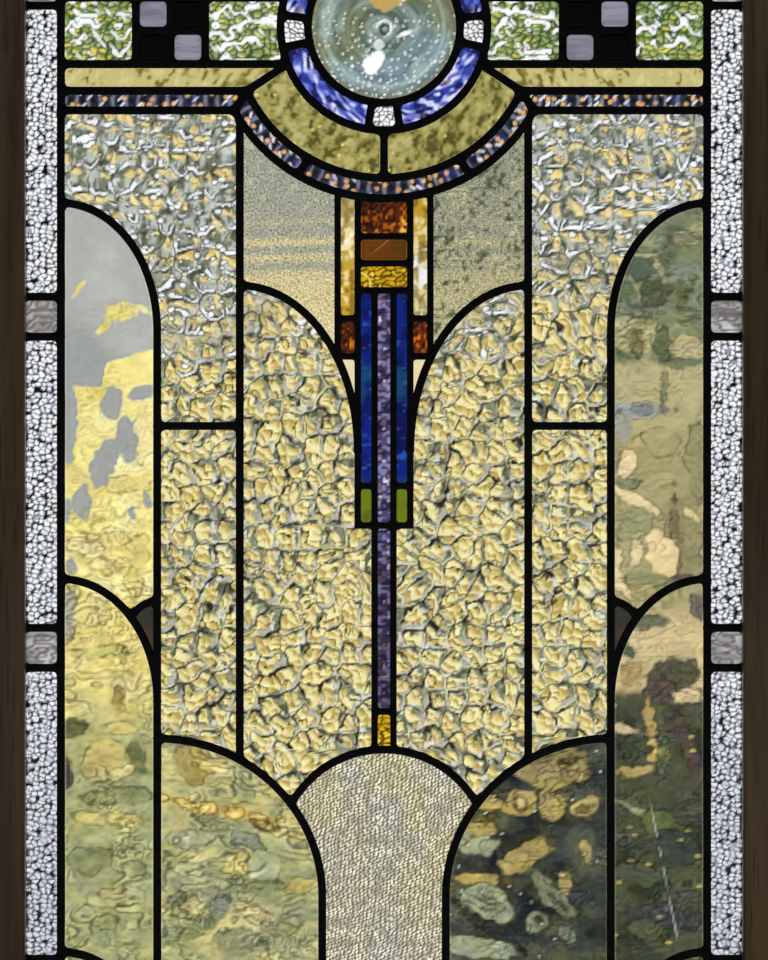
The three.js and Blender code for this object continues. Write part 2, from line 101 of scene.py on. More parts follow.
def swept(path, section, closed=False):
    """A section carried along a path in the plane of the window.

    Each point of the section is (a, b). It goes a to the left of the path, measured square to it
    and stretched at a bend so that the sides stay parallel, and b back from the plane.
    """
    path = np.asarray(path, float)
    section = np.asarray(section, float)
    if closed:
        come = path - np.roll(path, 1, axis=0)
        go = np.roll(path, -1, axis=0) - path
    else:
        steps = np.diff(path, axis=0)
        come = np.vstack([steps[:1], steps])
        go = np.vstack([steps, steps[-1:]])
    come /= np.linalg.norm(come, axis=1)[:, None]
    go /= np.linalg.norm(go, axis=1)[:, None]
    left = np.column_stack([-come[:, 1] - go[:, 1], come[:, 0] + go[:, 0]])
    left /= (left[:, 0] * -come[:, 1] + left[:, 1] * come[:, 0])[:, None]
    count, width = len(path), len(section)
    points = np.empty((count, width, 3))
    points[:, :, 0] = path[:, :1] + left[:, :1] * section[:, 0]
    points[:, :, 1] = section[:, 1]
    points[:, :, 2] = path[:, 1:] + left[:, 1:] * section[:, 0]
    row = np.arange(count if closed else count - 1)[:, None]
    here = row * width + np.arange(width)
    beside = row * width + (np.arange(width) + 1) % width
    onward = ((row + 1) % count) * width - row * width
    sides = np.stack([here, here + onward, beside + onward, beside], axis=-1).reshape(-1, 4)
    if closed:
        return points.reshape(-1, 3), [sides]
    start = np.arange(width)[None, :]
    end = start[:, ::-1] + (count - 1) * width
    return points.reshape(-1, 3), [sides, start, end]


def member_section(outer, inner):
    """Section of a stile or rail between its outer face and the opening, as (a, b) points.

    Each of the four long edges is a quarter circle, and the groove is cut into the inner face.
    """
    turn = np.radians(np.linspace(0, 90, 5))
    ease_a, ease_b = ARRIS * (1 - np.cos(turn)), ARRIS * (1 - np.sin(turn))
    way = np.sign(inner - outer)
    deep, half = FRAME_DEEP, GROOVE_OPEN / 2
    front_out = np.column_stack([outer + way * ease_a, -deep + ease_b])
    front_in = np.column_stack([inner - way * ease_a, -deep + ease_b])[::-1]
    floor_a = inner - way * GROOVE_DEEP
    groove = [(inner, -half), (floor_a, -half), (floor_a, half), (inner, half)]
    back_in = np.column_stack([inner - way * ease_a, deep - ease_b])
    back_out = np.column_stack([outer + way * ease_a, deep - ease_b])[::-1]
    section = np.vstack([front_out, front_in, groove, back_in, back_out])
    return section if way > 0 else section[::-1]


def shader_group(name, inputs, outputs):
    """An empty node group with named inputs, as (name, socket type, value), and outputs."""
    group = bpy.data.node_groups.new(name, "ShaderNodeTree")
    for label, kind, value in inputs:
        socket = group.interface.new_socket(label, in_out="INPUT", socket_type=kind)
        socket.default_value = value
    for label, kind in outputs:
        group.interface.new_socket(label, in_out="OUTPUT", socket_type=kind)
    return group, group.nodes.new("NodeGroupInput"), group.nodes.new("NodeGroupOutput")


def feed(tree, made, links):
    """Gives a node's inputs, by name or number, values, other sockets or nodes' first outputs."""
    for label, value in links.items():
        if isinstance(value, bpy.types.Node):
            value = value.outputs[0]
        if isinstance(value, bpy.types.NodeSocket):
            tree.links.new(value, made.inputs[label])
        else:
            made.inputs[label].default_value = value
    return made


def node(tree, kind, links, **settings):
    """A shader node with its settings, fed with its links."""
    made = tree.nodes.new(kind)
    for label, value in settings.items():
        setattr(made, label, value)
    return feed(tree, made, links)


def noise(tree, place, scale, **more):
    """Noise at a place, with more sockets by name."""
    return node(tree, "ShaderNodeTexNoise", {"Vector": place, "Scale": scale, **more})


def eased(tree, value, low, high, **more):
    """A value taken from 0 at low to 1 at high, leaving and arriving level."""
    links = {"Value": value, "From Min": low, "From Max": high}
    links.update((label.replace("_", " "), end) for label, end in more.items())
    return node(tree, "ShaderNodeMapRange", links, interpolation_type="SMOOTHSTEP")


def bump(tree, height, strength, far):
    """A normal that leans as a height of up to this far would make it."""
    links = {"Height": height, "Strength": strength, "Distance": far}
    return node(tree, "ShaderNodeBump", links)


def ramp(tree, value, *stops):
    """A colour that follows a value from one stop to the next, each a position and a colour."""
    made = node(tree, "ShaderNodeValToRGB", {"Fac": value})
    for element, (position, colour) in zip(made.color_ramp.elements, stops):
        element.position, element.color = position, (*linear(colour), 1)
    return made


def object_place(tree):
    """The place of each point on its piece."""
    return tree.nodes.new("ShaderNodeTexCoord").outputs["Object"]


def new_material(name, **values):
    """A material with a Principled shader whose plain values are set by their socket names."""
    material = bpy.data.materials.new(name)
    material.use_nodes = True
    shader = material.node_tree.nodes["Principled BSDF"]
    for label, value in values.items():
        shader.inputs[label.replace("_", " ")].default_value = value
    return material, material.node_tree, shader


def linear(colour):
    """A colour given as 0 to 255 on the screen, as the light values that a shader takes."""
    return (np.asarray(colour, float) / 255) ** 2.2


# Wood grain: long streaks along the member from a stretched noise, with fine dark pores.
grain, grain_in, grain_out = shader_group(
    "wood_grain",
    [("Vector", "NodeSocketVector", (0, 0, 0)), ("Streaks", "NodeSocketFloat", 60)],
    [("Tone", "NodeSocketFloat"), ("Pores", "NodeSocketFloat")],
)
streaks = noise(
    grain, grain_in.outputs["Vector"], grain_in.outputs["Streaks"], Detail=5.0, Roughness=0.62,
    Distortion=0.4,
)
pores = noise(grain, grain_in.outputs["Vector"], 420.0, Detail=2.0, Roughness=0.5)
feed(grain, grain_out, {"Tone": streaks, "Pores": eased(grain, pores, 0.60, 0.68)})


def stained_wood(name, stretch):
    """Dark stained wood whose grain runs along the axis that stretch makes short."""
    material, tree, shader = new_material(
        name, Roughness=0.42, Coat_Weight=0.25, Coat_Roughness=0.3, Specular_IOR_Level=0.3
    )
    along = node(tree, "ShaderNodeMapping", {"Vector": object_place(tree), "Scale": stretch})
    wood_grain = node(tree, "ShaderNodeGroup", {}, node_tree=grain)
    feed(tree, wood_grain, {"Vector": along})
    tone, pored = wood_grain.outputs["Tone"], wood_grain.outputs["Pores"]
    stain = ramp(tree, tone, (0.34, (60, 46, 25)), (0.66, (102, 79, 49)))
    mix = {"data_type": "RGBA", "blend_type": "MULTIPLY"}
    with_pores = node(tree, "ShaderNodeMix", {"Factor": pored}, **mix)
    feed(tree, with_pores, {"A": stain, "B": (0.45, 0.42, 0.4, 1)})
    feed(tree, shader, {"Base Color": with_pores.outputs["Result"]})
    feed(tree, shader, {"Normal": bump(tree, tone, 0.25, 0.0004)})
    return material


upright_wood = stained_wood("upright_wood", (1, 1, GRAIN_RUN))
level_wood = stained_wood("level_wood", (GRAIN_RUN, 1, 1))

for side, way in (("left", -1), ("right", 1)):
    section = member_section(-way * MEMBER / 2, way * MEMBER / 2)
    middle = way * (FRAME_X - MEMBER / 2)
    stile = swept([(middle, FRAME_LOW), (middle, FRAME_HIGH)], section)
    add_piece(f"wood_stile_{side}", *stile, upright_wood, "frame_wood", [f"stile_{side}"], (1, 2))
for place, way in (("bottom", 1), ("top", -1)):
    section = member_section(-way * MEMBER / 2, way * MEMBER / 2)
    middle = (FRAME_LOW if way > 0 else FRAME_HIGH) + way * MEMBER / 2
    rail = swept([(-SIGHT_X + HAIRLINE, middle), (SIGHT_X - HAIRLINE, middle)], section)
    add_piece(f"wood_rail_{place}", *rail, level_wood, "frame_wood", [f"rail_{place}"], (1, 2))

# ---- The lead ----------------------------------------------------------------------------------
# H-section lead came, stretched straight, bent to the lines of the design and blackened. Every
# joint is closed with a flat pool of solder on both sides, which also rounds the corners of the
# panes a little.
CAME_DEEP = 2.8  # half the depth of a came, front to back
LEAF = 1.0
HEART = 0.6  # half the thickness of the web between two panes
CROWN = 0.4  # how far the rounded leaf falls from its middle to its edges
FACE, FINE_FACE, RIM_FACE = 6.0, 4.9, 8.0
WEB, FINE_WEB = 3.8, 2.4  # how far solder fills a corner between two leads
KERF = 0.9  # from a lead line to the edge of the glass beside it


def lead_lines(pane):
    """The left, right, low and high lead lines round a pane: its node's box, grown by the kerf."""
    left, right, low, high = node_box(pane)
    return left - KERF, right + KERF, low - KERF, high + KERF


_, RIM_X, RIM_LOW, RIM_HIGH = lead_lines("border_right")
CHECKER_OUT, BORDER_X, BAND_LOW, BAND_HIGH = lead_lines("green_outer_right")
CHECKER_IN = lead_lines("checker_right")[0]
CHECKER_MID = (CHECKER_IN + CHECKER_OUT) / 2
BAND_Z = (BAND_LOW + BAND_HIGH) / 2
FIELD_X = lead_lines("head_field_right")[0]
BORDER_HIGH = lead_lines("head_field_right")[3]
_, ARCH_X, _, CROSSBAR_Z = lead_lines("flank_field_right")
STEM_X, _, BORDER_LOW, WAVE_Z = lead_lines("wave_right")
SHAFT_X, COLUMN_X, _, _ = lead_lines("column_amber_right")
SPINE_X, _, FOOT_Z, BLOCK_LOW = lead_lines("column_blue_right")
MIDDLE_Z = (FRAME_LOW + FRAME_HIGH) / 2

# The round lines about the middle of the roundel, by radius.
_, ROUNDEL_R, eye_low, eye_high = lead_lines("roundel")
EYE_Z = (eye_low + eye_high) / 2
RING_R = lead_lines("ring")[1]
FAN_R = EYE_Z - lead_lines("fan_lower_right")[2]
RIM_R = EYE_Z - lead_lines("fan_rim_lower")[2]
JEWEL_HALF = 9  # half the angle that each white square takes of the ring, degrees
RIM_SPLIT = 30  # where the fan's rim is divided, degrees from plumb
DOME_R = 79.5
DOME_Z = lead_lines("stem")[3] - DOME_R

# Quarter arches, each with its flat top at x = top and coming down plumb at x = foot.
TIER_RISES = (95.6, 91.5, 91.5)
TIERS = [
    (BORDER_X, lead_lines(f"arch_{tier}_right")[3], ARCH_X, rise)
    for tier, rise in zip(("high", "middle", "low"), TIER_RISES)
]
SHOULDER = (FIELD_X, lead_lines("centre_field_right")[3], SHAFT_X, 123.8)
WAVE = (ARCH_X, WAVE_Z, STEM_X, 118.3)
KEY_R = 21
KEY_DROP = 37.6  # from the top of an arch down to the middle of its key's small arc
KEY_FOOT = 12  # from the spring of an arch up to the point of the key

# Short level leads, and the border's squares.
BLOCK_LINES = (741.3, 721.1)
RUST_LINES = (679.8, 651.3)
LIME_Z = 554.2
TIP_Z = 385.1
SQUARE_PITCH = 248.2
SQUARE_HALF = 15
SQUARE_MIDDLES = [MIDDLE_Z + step * SQUARE_PITCH for step in (-1.5, -0.5, 0.5, 1.5)]


def circle_x(radius, z, centre_z=None):
    """Half the width at height z of a circle about the eye, or about another centre."""
    drop = z - (EYE_Z if centre_z is None else centre_z)
    return np.sqrt(np.clip(radius**2 - drop**2, 0, None))


def circle_z(radius, x, way):
    """Height of a circle about the eye at x, below its centre (-1) or above it (1)."""
    return EYE_Z + way * math.sqrt(radius**2 - x**2)


def arch_x(arch, z, gap=0.0):
    """Where a quarter arch stands at height z: plumb below its spring, then a quarter ellipse.

    gap moves the line outwards, away from the pane under the arch.
    """
    top, crown, foot, rise = arch
    up = np.clip((z - crown + rise) / (rise + gap), 0, 1)
    return top - (top - foot + gap) * np.sqrt(1 - up**2)


def arch_z(arch, x):
    """Height of a quarter arch at x."""
    top, crown, foot, rise = arch
    return crown - rise + rise * math.sqrt(1 - ((top - x) / (top - foot)) ** 2)


def key_x(tier, z, gap=0.0):
    """The small arc over the key beside an arch: plumb below its middle, then a quarter circle."""
    up = np.clip((z - tier[1] + KEY_DROP) / (KEY_R + gap), 0, 1)
    return ARCH_X + (KEY_R + gap) * np.sqrt(1 - up**2)


def meeting(gap_between, low, high):
    """The place between low and high where a difference changes sign, found by halving."""
    for _ in range(40):
        middle = (low + high) / 2
        if gap_between(low) * gap_between(middle) <= 0:
            high = middle
        else:
            low = middle
    return (low + high) / 2


KEY_TIPS = [meeting(lambda z: key_x(t, z) - arch_x(t, z), t[1] - KEY_DROP, t[1]) for t in TIERS]
DOME_END = meeting(lambda z: circle_x(DOME_R, z, DOME_Z) - arch_x(WAVE, z), DOME_Z, WAVE_Z)


def bow(centre, radii, start, stop):
    """Points about 3 mm apart along part of an ellipse, by angles in degrees from +X up."""
    count = max(2, int(abs(math.radians(stop - start)) * max(radii) / 3))
    turn = np.radians(np.linspace(start, stop, count + 1))
    return np.column_stack(
        [centre[0] + radii[0] * np.cos(turn), centre[1] + radii[1] * np.sin(turn)]
    )


def eye_bow(radius, start, stop):
    """Part of a circle about the eye."""
    return bow((0, EYE_Z), (radius, radius), start, stop)


def arch_bow(arch, down_to=None):
    """A quarter arch from its crown down to its spring, or to a height on the way."""
    top, crown, foot, rise = arch
    up = 0 if down_to is None else (down_to - crown + rise) / rise
    return bow((top, crown - rise), (top - foot, rise), 90, 180 - math.degrees(math.asin(up)))


def mirrored(path):
    """A line given for the right-hand side, and the same line on the left."""
    path = np.asarray(path, float)
    return [path, path * (-1, 1)]


cames, closed_cames, fine_cames = [], [], []
joints, fine_joints = [], []

# The border: the rim in the groove, the inner line, and a short lead at each edge of a square.
rim = [(-RIM_X, RIM_LOW), (RIM_X, RIM_LOW), (RIM_X, RIM_HIGH), (-RIM_X, RIM_HIGH)]
cames += mirrored([(BORDER_X, RIM_LOW), (BORDER_X, RIM_HIGH)])
for inner, outer in ((BORDER_LOW, RIM_LOW), (BORDER_HIGH, RIM_HIGH)):
    cames.append([(-RIM_X, inner), (RIM_X, inner)])
    cames += mirrored([(SQUARE_HALF, inner), (SQUARE_HALF, outer)])
    joints += [(BORDER_X, inner), (-BORDER_X, inner)]
for square in SQUARE_MIDDLES:
    for edge in (square - SQUARE_HALF, square + SQUARE_HALF):
        cames += mirrored([(BORDER_X, edge), (RIM_X, edge)])

# The eye and what leans on it, below and above the band.
closed_cames += [eye_bow(ROUNDEL_R, 0, 360)[:-1], eye_bow(RING_R, 0, 360)[:-1]]
JEWEL_LEAN = math.degrees(math.asin(2 * (BAND_Z - EYE_Z) / (ROUNDEL_R + RING_R)))
JEWELS = (JEWEL_LEAN, 90, 180 - JEWEL_LEAN, 270)
for middle in JEWELS:
    for edge in (middle - JEWEL_HALF, middle + JEWEL_HALF):
        cames.append([eye_bow(radius, edge, edge)[0] for radius in (ROUNDEL_R, RING_R)])


def eye_angle(point):
    """The angle of a point about the eye, in degrees from +X up."""
    return math.degrees(math.atan2(point[1] - EYE_Z, point[0]))


FAN_LINES = {}
for place, way in (("lower", -1), ("upper", 1)):
    band = BAND_LOW if way < 0 else BAND_HIGH
    strip_edge = 2 if way < 0 else 3
    olive = lead_lines(f"olive_strip_{place}_right")[strip_edge]
    slate = lead_lines(f"slate_strip_{place}_right")[strip_edge]
    root = (circle_x(RING_R, band), band)
    fan_tip = (circle_x(FAN_R, olive), olive)
    rim_tip = (circle_x(RIM_R, slate), slate)
    FAN_LINES[place] = (way, root, fan_tip, rim_tip)
    for end in (root, fan_tip, rim_tip):
        cames += mirrored([(BORDER_X, end[1]), end])
    cames += mirrored([root, fan_tip, rim_tip])
    joints += [(fan_tip[0], fan_tip[1]), (-fan_tip[0], fan_tip[1])]
    for radius, tip in ((FAN_R, fan_tip), (RIM_R, rim_tip)):
        cames.append(eye_bow(radius, eye_angle(tip), way * 180 - eye_angle(tip)))
    cames.append([(0, EYE_Z + way * RING_R), (0, EYE_Z + way * FAN_R)])
    for split in (way * 90 - RIM_SPLIT, way * 90 + RIM_SPLIT):
        cames.append([eye_bow(radius, split, split)[0] for radius in (FAN_R, RIM_R)])

# The checkers of the band, and the long field lines.
for x in (CHECKER_IN, CHECKER_MID, CHECKER_OUT):
    cames += mirrored([(x, BAND_LOW), (x, BAND_HIGH)])
cames += mirrored([(CHECKER_IN, BAND_Z), (CHECKER_OUT, BAND_Z)])
joints += [(CHECKER_MID, BAND_Z), (-CHECKER_MID, BAND_Z)]
cames += mirrored([(FIELD_X, circle_z(RIM_R, FIELD_X, -1)), (FIELD_X, arch_z(WAVE, FIELD_X))])
cames += mirrored([(FIELD_X, circle_z(RIM_R, FIELD_X, 1)), (FIELD_X, BORDER_HIGH)])
cames.append([(0, EYE_Z + RIM_R), (0, BORDER_HIGH)])
cames += mirrored([(FIELD_X, CROSSBAR_Z), (ARCH_X, CROSSBAR_Z)])
cames += mirrored(arch_bow(SHOULDER))

# The column, in finer came.
column_top = (COLUMN_X, circle_z(RIM_R, COLUMN_X, -1))
shaft_top = (SHAFT_X, circle_z(RIM_R, SHAFT_X, -1))
spine_low = (SPINE_X, DOME_Z + math.sqrt(DOME_R**2 - SPINE_X**2))
fine_cames += mirrored([column_top, (COLUMN_X, arch_z(SHOULDER, COLUMN_X))])
fine_cames.append(
    [(-shaft_top[0], shaft_top[1]), (-SHAFT_X, FOOT_Z), (SHAFT_X, FOOT_Z), shaft_top]
)
fine_cames += mirrored([(SPINE_X, BLOCK_LOW), spine_low])
fine_joints += [(way * x, FOOT_Z) for way in (-1, 1) for x in (SHAFT_X, SPINE_X)]
for z in (*BLOCK_LINES, BLOCK_LOW):
    fine_cames.append([(-SHAFT_X, z), (SHAFT_X, z)])
for z in RUST_LINES:
    fine_cames += mirrored([(SHAFT_X, z), (COLUMN_X, z)])
fine_cames += mirrored([(SPINE_X, LIME_Z), (SHAFT_X, LIME_Z)])
fine_cames.append([(-SPINE_X, TIP_Z), (SPINE_X, TIP_Z)])

# The side arches with their keys, the arches at the foot and the dome over the stem.
cames += mirrored(np.vstack([arch_bow(TIERS[0]), [(ARCH_X, BORDER_LOW)]]))
for tier in TIERS[1:]:
    cames += mirrored(arch_bow(tier))
for tier, tip in zip(TIERS[1:], KEY_TIPS[1:]):
    reach = math.degrees(math.asin((tip - tier[1] + KEY_DROP) / KEY_R))
    cames += mirrored(bow((ARCH_X, tier[1] - KEY_DROP), (KEY_R, KEY_R), 90, reach))
cames += mirrored(np.vstack([arch_bow(WAVE), [(STEM_X, BORDER_LOW)]]))
dome_end = math.degrees(math.asin((DOME_END - DOME_Z) / DOME_R))
cames.append(bow((0, DOME_Z), (DOME_R, DOME_R), dome_end, 180 - dome_end))


def came_section(face):
    """The H of a came as (a, b) points: two leaves, rounded outside, on a web between them."""
    half, inner = face / 2, CAME_DEEP - LEAF
    across = np.linspace(-1, 1, 7)
    leaf = np.column_stack([across * half, CAME_DEEP - CROWN * np.abs(across) ** 3])
    right_side = [(half, -inner), (HEART, -inner), (HEART, inner), (half, inner)]
    left_side = [(-half, inner), (-HEART, inner), (-HEART, -inner), (-half, -inner)]
    return np.vstack([leaf * (1, -1), right_side, leaf[::-1], left_side])


def gathered(parts):
    """Several bodies' points and faces as one mesh's."""
    points, faces, count = [], [], 0
    for some_points, some_faces in parts:
        points.append(some_points)
        faces += [part + count for part in some_faces]
        count += len(some_points)
    return np.vstack(points), faces


def solder_pools(places, reach):
    """Pools of solder on both sides of the lead, each a low cap turned round its middle.

    Four rings of points go from the foot, sunk in the leaf, over the shoulder to the flat top.
    reach is half the face of the came that the pool lies on, and each pool has its own width and
    a slightly uneven outline.
    """
    rng = np.random.default_rng(11)
    places = np.asarray(places, float)
    sides = 12
    turn = np.arange(sides) * 2 * np.pi / sides
    spread = np.array([1.0, 0.97, 0.78, 0.42])
    proud = np.array([-0.6, 0.02, 0.30, 0.42])
    radius = reach * rng.uniform(1.06, 1.14, (len(places), 1))
    radius = radius * rng.uniform(0.97, 1.03, (len(places), sides))
    points, faces = [], []
    for face_way in (-1, 1):
        ring = radius[:, None, :] * spread[None, :, None]
        x = places[:, :1, None] + ring * np.cos(turn)
        z = places[:, 1:, None] + ring * np.sin(turn)
        y = np.broadcast_to(face_way * (CAME_DEEP + proud[None, :, None]), x.shape)
        points.append(np.stack([x, y, z], axis=-1).reshape(-1, 3))
        pool = np.arange(len(places))[:, None, None] * 4 * sides
        here = pool + np.arange(3)[None, :, None] * sides + np.arange(sides)
        beside = pool + np.arange(3)[None, :, None] * sides + (np.arange(sides) + 1) % sides
        quads = np.stack([here, beside, beside + sides, here + sides], axis=-1).reshape(-1, 4)
        foot = (pool + np.arange(sides)).reshape(-1, sides)
        caps = [quads, foot[:, ::-1], foot + 3 * sides]
        faces.append(caps if face_way < 0 else [part[:, ::-1] for part in caps])
    return gathered(list(zip(points, faces)))


ON_LEAD = 0.6  # a joint this near to a lead's middle line lies on it
ARM = 1.5  # shortest stub of lead that counts as leaving a joint
SAME_WAY = 0.2  # leads less than this angle apart are one, in radians
CORNER_ANGLES = 0.6, 2.7  # narrowest and widest corner that solder fills, in radians


def arms(place, runs):
    """The ways lead leaves a joint, in order of angle, each with half its face."""
    start, stop = runs[:, :2] - place, runs[:, 2:4] - place
    along = stop - start
    part = np.clip(-(start * along).sum(axis=1) / (along**2).sum(axis=1), 0, 1)
    through = np.hypot(*(start + part[:, None] * along).T) < ON_LEAD
    ends, halves = np.vstack([start[through], stop[through]]), np.tile(runs[through, 4], 2)
    off = np.hypot(*ends.T) > ARM
    found = sorted((math.atan2(z, x), half) for (x, z), half in zip(ends[off], halves[off]))
    kept = [arm for before, arm in zip([(-9, 0), *found], found) if arm[0] - before[0] > SAME_WAY]
    return kept[:-1] if kept[-1][0] - kept[0][0] > 2 * math.pi - SAME_WAY else kept


def corner_webs(places, runs, reach):
    """Solder that fills the corners between leads at each joint, so the panes look rounded there.

    Between two neighbouring leads the faces meet in a corner. A thin web, level with the edge of
    the face, fills it as far as a curve from one face to the other, reach away from the corner and
    drawn towards it.
    """
    part = np.linspace(0, 1, 6)[:, None]
    outlines = []
    for place in places:
        around = arms(place, runs)
        for (turn, half), (next_turn, next_half) in zip(around, around[1:] + around[:1]):
            if not CORNER_ANGLES[0] < (next_turn - turn) % (2 * math.pi) < CORNER_ANGLES[1]:
                continue
            go = np.array([math.cos(turn), math.sin(turn)])
            onward = np.array([math.cos(next_turn), math.sin(next_turn)])
            left, right = go[::-1] * (-1, 1), onward[::-1] * (1, -1)
            corner = np.linalg.solve([left, right], [half, next_half])
            near, far = corner + reach * go, corner + reach * onward
            curve = near * (1 - part) ** 2 + 2 * corner * part * (1 - part) + far * part**2
            outline = [(0, 0), near - 0.5 * left, *curve, far - 0.5 * right]
            outlines.append(np.array(outline) + place)
    outlines = np.array(outlines)
    count, width, _ = outlines.shape
    top, low = CAME_DEEP - CROWN + 0.03, CAME_DEEP - LEAF
    here = np.arange(count)[:, None] * width + np.arange(width)
    beside = np.roll(here, -1, axis=1)
    walls = np.stack([here, beside, beside + count * width, here + count * width], axis=-1)
    bodies = []
    for way in (-1, 1):
        levels = [np.insert(outlines, 1, way * y, axis=2).reshape(-1, 3) for y in (top, low)]
        faces = [here, here[:, ::-1] + count * width, walls.reshape(-1, 4)[:, ::-1]]
        bodies.append((np.vstack(levels), faces if way < 0 else [part[:, ::-1] for part in faces]))
    return gathered(bodies)


def apart(places, least=2):
    """The places, without those that lie nearer than the least distance to an earlier one."""
    places = np.asarray(places, float)
    away = np.hypot(places[:, :1] - places[:, 0], places[:, 1:] - places[:, 1])
    return places[~np.triu(away < least, 1).any(axis=0)]


joints += [end for path in cames for end in (path[0], path[-1])]
fine_joints += [end for path in fine_cames for end in (path[0], path[-1])]

net = [swept(rim, came_section(RIM_FACE), closed=True)]
net += [swept(path, came_section(FACE)) for path in cames]
net += [swept(path, came_section(FACE), closed=True) for path in closed_cames]
net += [swept(path, came_section(FINE_FACE)) for path in fine_cames]

blackened, tree, shader = new_material(
    "blackened_lead", Metallic=0.55, Roughness=0.5, Specular_IOR_Level=0.25
)
bloom = noise(tree, object_place(tree), 90.0, Detail=4.0, Roughness=0.6)
patina = ramp(tree, bloom, (0.35, (12, 13, 12)), (0.7, (26, 27, 28)))
feed(tree, shader, {"Base Color": patina, "Normal": bump(tree, bloom, 0.35, 0.0005)})

points, faces = gathered(net)
hard = [i for i, part in enumerate(faces) if part.shape[1] > 4]
lead_net = add_piece("lead_net", points, faces, blackened, "lead", ["lead_came"], hard)
lead_net.data.set_sharp_from_angle(angle=math.radians(40))
points, faces = gathered(
    [solder_pools(apart(joints), FACE / 2), solder_pools(apart(fine_joints), FINE_FACE / 2)]
)
add_piece("solder_joints", points, faces, blackened, "lead", ["lead_came"])
rounds = [np.vstack([path, path[:1]]) for path in (*closed_cames, rim)]
straight = [(path, FACE / 2) for path in (*cames, *rounds[:2])]
straight += [(path, FINE_FACE / 2) for path in fine_cames] + [(rounds[2], RIM_FACE / 2)]
runs = np.vstack(
    [
        np.column_stack([path[:-1], path[1:], np.full(len(path) - 1, half)])
        for path, half in ((np.asarray(path, float), half) for path, half in straight)
    ]
)
points, faces = gathered(
    [corner_webs(apart(joints), runs, WEB), corner_webs(apart(fine_joints), runs, FINE_WEB)]
)
add_piece("solder_webs", points, faces, blackened, "lead", ["lead_came"], flat=(0, 1, 2, 3, 4, 5))

# ---- Cut glass ---------------------------------------------------------------------------------
# Every pane is 3 mm glass, cut a little inside its lead lines. The pattern rolled or blown into
# the glass stands up on the front, dies away under the lead, and the back is flat.
GLASS = 1.5  # half the thickness
NET = 97  # how many random values a pattern has each way before it repeats
COVERED, CLEAR_OF_LEAD = 0.5, 3.5  # in from a pane's edge: where its relief starts and is full
CRISPER = 0.8  # how much of what softening would take from the colour is added to it
TINT_REACH = 8  # how many times the back's tint is softened
NARROWEST = 0.4  # least width of a pane where its sides run together


def ease(start, stop, value):
    """From 0 at start to 1 at stop, leaving and arriving level."""
    part = np.clip((value - start) / (stop - start), 0, 1)
    return part * part * (3 - 2 * part)


def band(value, middle, half):
    """1 at the middle, easing to 0 at half a band's width on each side."""
    return 1 - ease(0, half, np.abs(value - middle))


def drift(x, z, size, seed):
    """A smooth random height from -1 to 1.

    Random values stand at the corners of squares of this size, and the height between them is
    eased from corner to corner.
    """
    values = np.random.default_rng(seed).uniform(-1, 1, (NET, NET))
    i, j = np.floor(x / size).astype(int), np.floor(z / size).astype(int)
    across, up = ease(0, 1, x / size - i), ease(0, 1, z / size - j)

    def corner(di, dj):
        return values[(i + di) % NET, (j + dj) % NET]

    low = corner(0, 0) * (1 - across) + corner(1, 0) * across
    high = corner(0, 1) * (1 - across) + corner(1, 1) * across
    return low * (1 - up) + high * up


def clouds(x, z, size, seed):
    """Three sizes of drift added up, each half as large and half as strong as the one before."""
    total = drift(x, z, size, seed) + 0.5 * drift(z, x, size / 2, seed + 1)
    return (total + 0.25 * drift(x, z, size / 4, seed + 2)) / 1.75


def cells(x, z, size, seed):
    """The plane cut into irregular cells, each round a random point in a square of this size.

    Gives each place's distance to the edge of its cell, the way across and up to the cell's point,
    and the cell's own random draw from 0 to 1.
    """
    rng = np.random.default_rng(seed)
    points, draws = rng.uniform(0.1, 0.9, (NET, NET, 2)), rng.random((NET, NET))
    i, j = np.floor(x / size).astype(int), np.floor(z / size).astype(int)
    first = second = np.full(x.shape, np.inf)
    near = np.zeros((5, *x.shape))
    for ci, cj in [(i + di, j + dj) for di in (-1, 0, 1) for dj in (-1, 0, 1)]:
        point = points[ci % NET, cj % NET]
        to_x, to_z = (ci + point[..., 0]) * size - x, (cj + point[..., 1]) * size - z
        away = to_x**2 + to_z**2
        nearest, next_one = away < first, (away >= first) & (away < second)
        near[3:] = np.where(nearest, near[:2], np.where(next_one, (to_x, to_z), near[3:]))
        near[:3] = np.where(nearest, (to_x, to_z, draws[ci % NET, cj % NET]), near[:3])
        second = np.where(nearest, first, np.where(next_one, away, second))
        first = np.minimum(first, away)
    to_x, to_z, draw, next_x, next_z = near
    gap = np.hypot(next_x - to_x, next_z - to_z)
    return (second - first) / (2 * gap + 1e-6), to_x, to_z, draw


def paint(base, colour, mask):
    """The base, one colour or one for each place, with a colour laid over it where mask is 1."""
    base = np.asarray(base, float)
    return base + (np.asarray(colour, float) - base) * mask[..., None]


def layered(base, *layers):
    """The base colours with others laid over them in turn, each given as a colour and its mask."""
    for colour, mask in layers:
        base = paint(base, colour, mask)
    return base


def blob(x, z, middle, half, lean=0.0, seed=0):
    """1 inside an ellipse with a wandering outline and 0 outside it, and 1 along the outline."""
    turn = math.radians(lean)
    to_x, to_z = x - middle[0], z - middle[1]
    along = (to_x * math.cos(turn) + to_z * math.sin(turn)) / half[0]
    over = (to_z * math.cos(turn) - to_x * math.sin(turn)) / half[1]
    size = min(half)
    wander = 0.3 * drift(x, z, 1.3 * size, seed) + 0.15 * drift(x, z, 0.55 * size, seed + 1)
    out = (np.hypot(along, over) + wander - 1) * size
    return ease(0.8, -0.8, out), band(out, 0.6, 1.5)


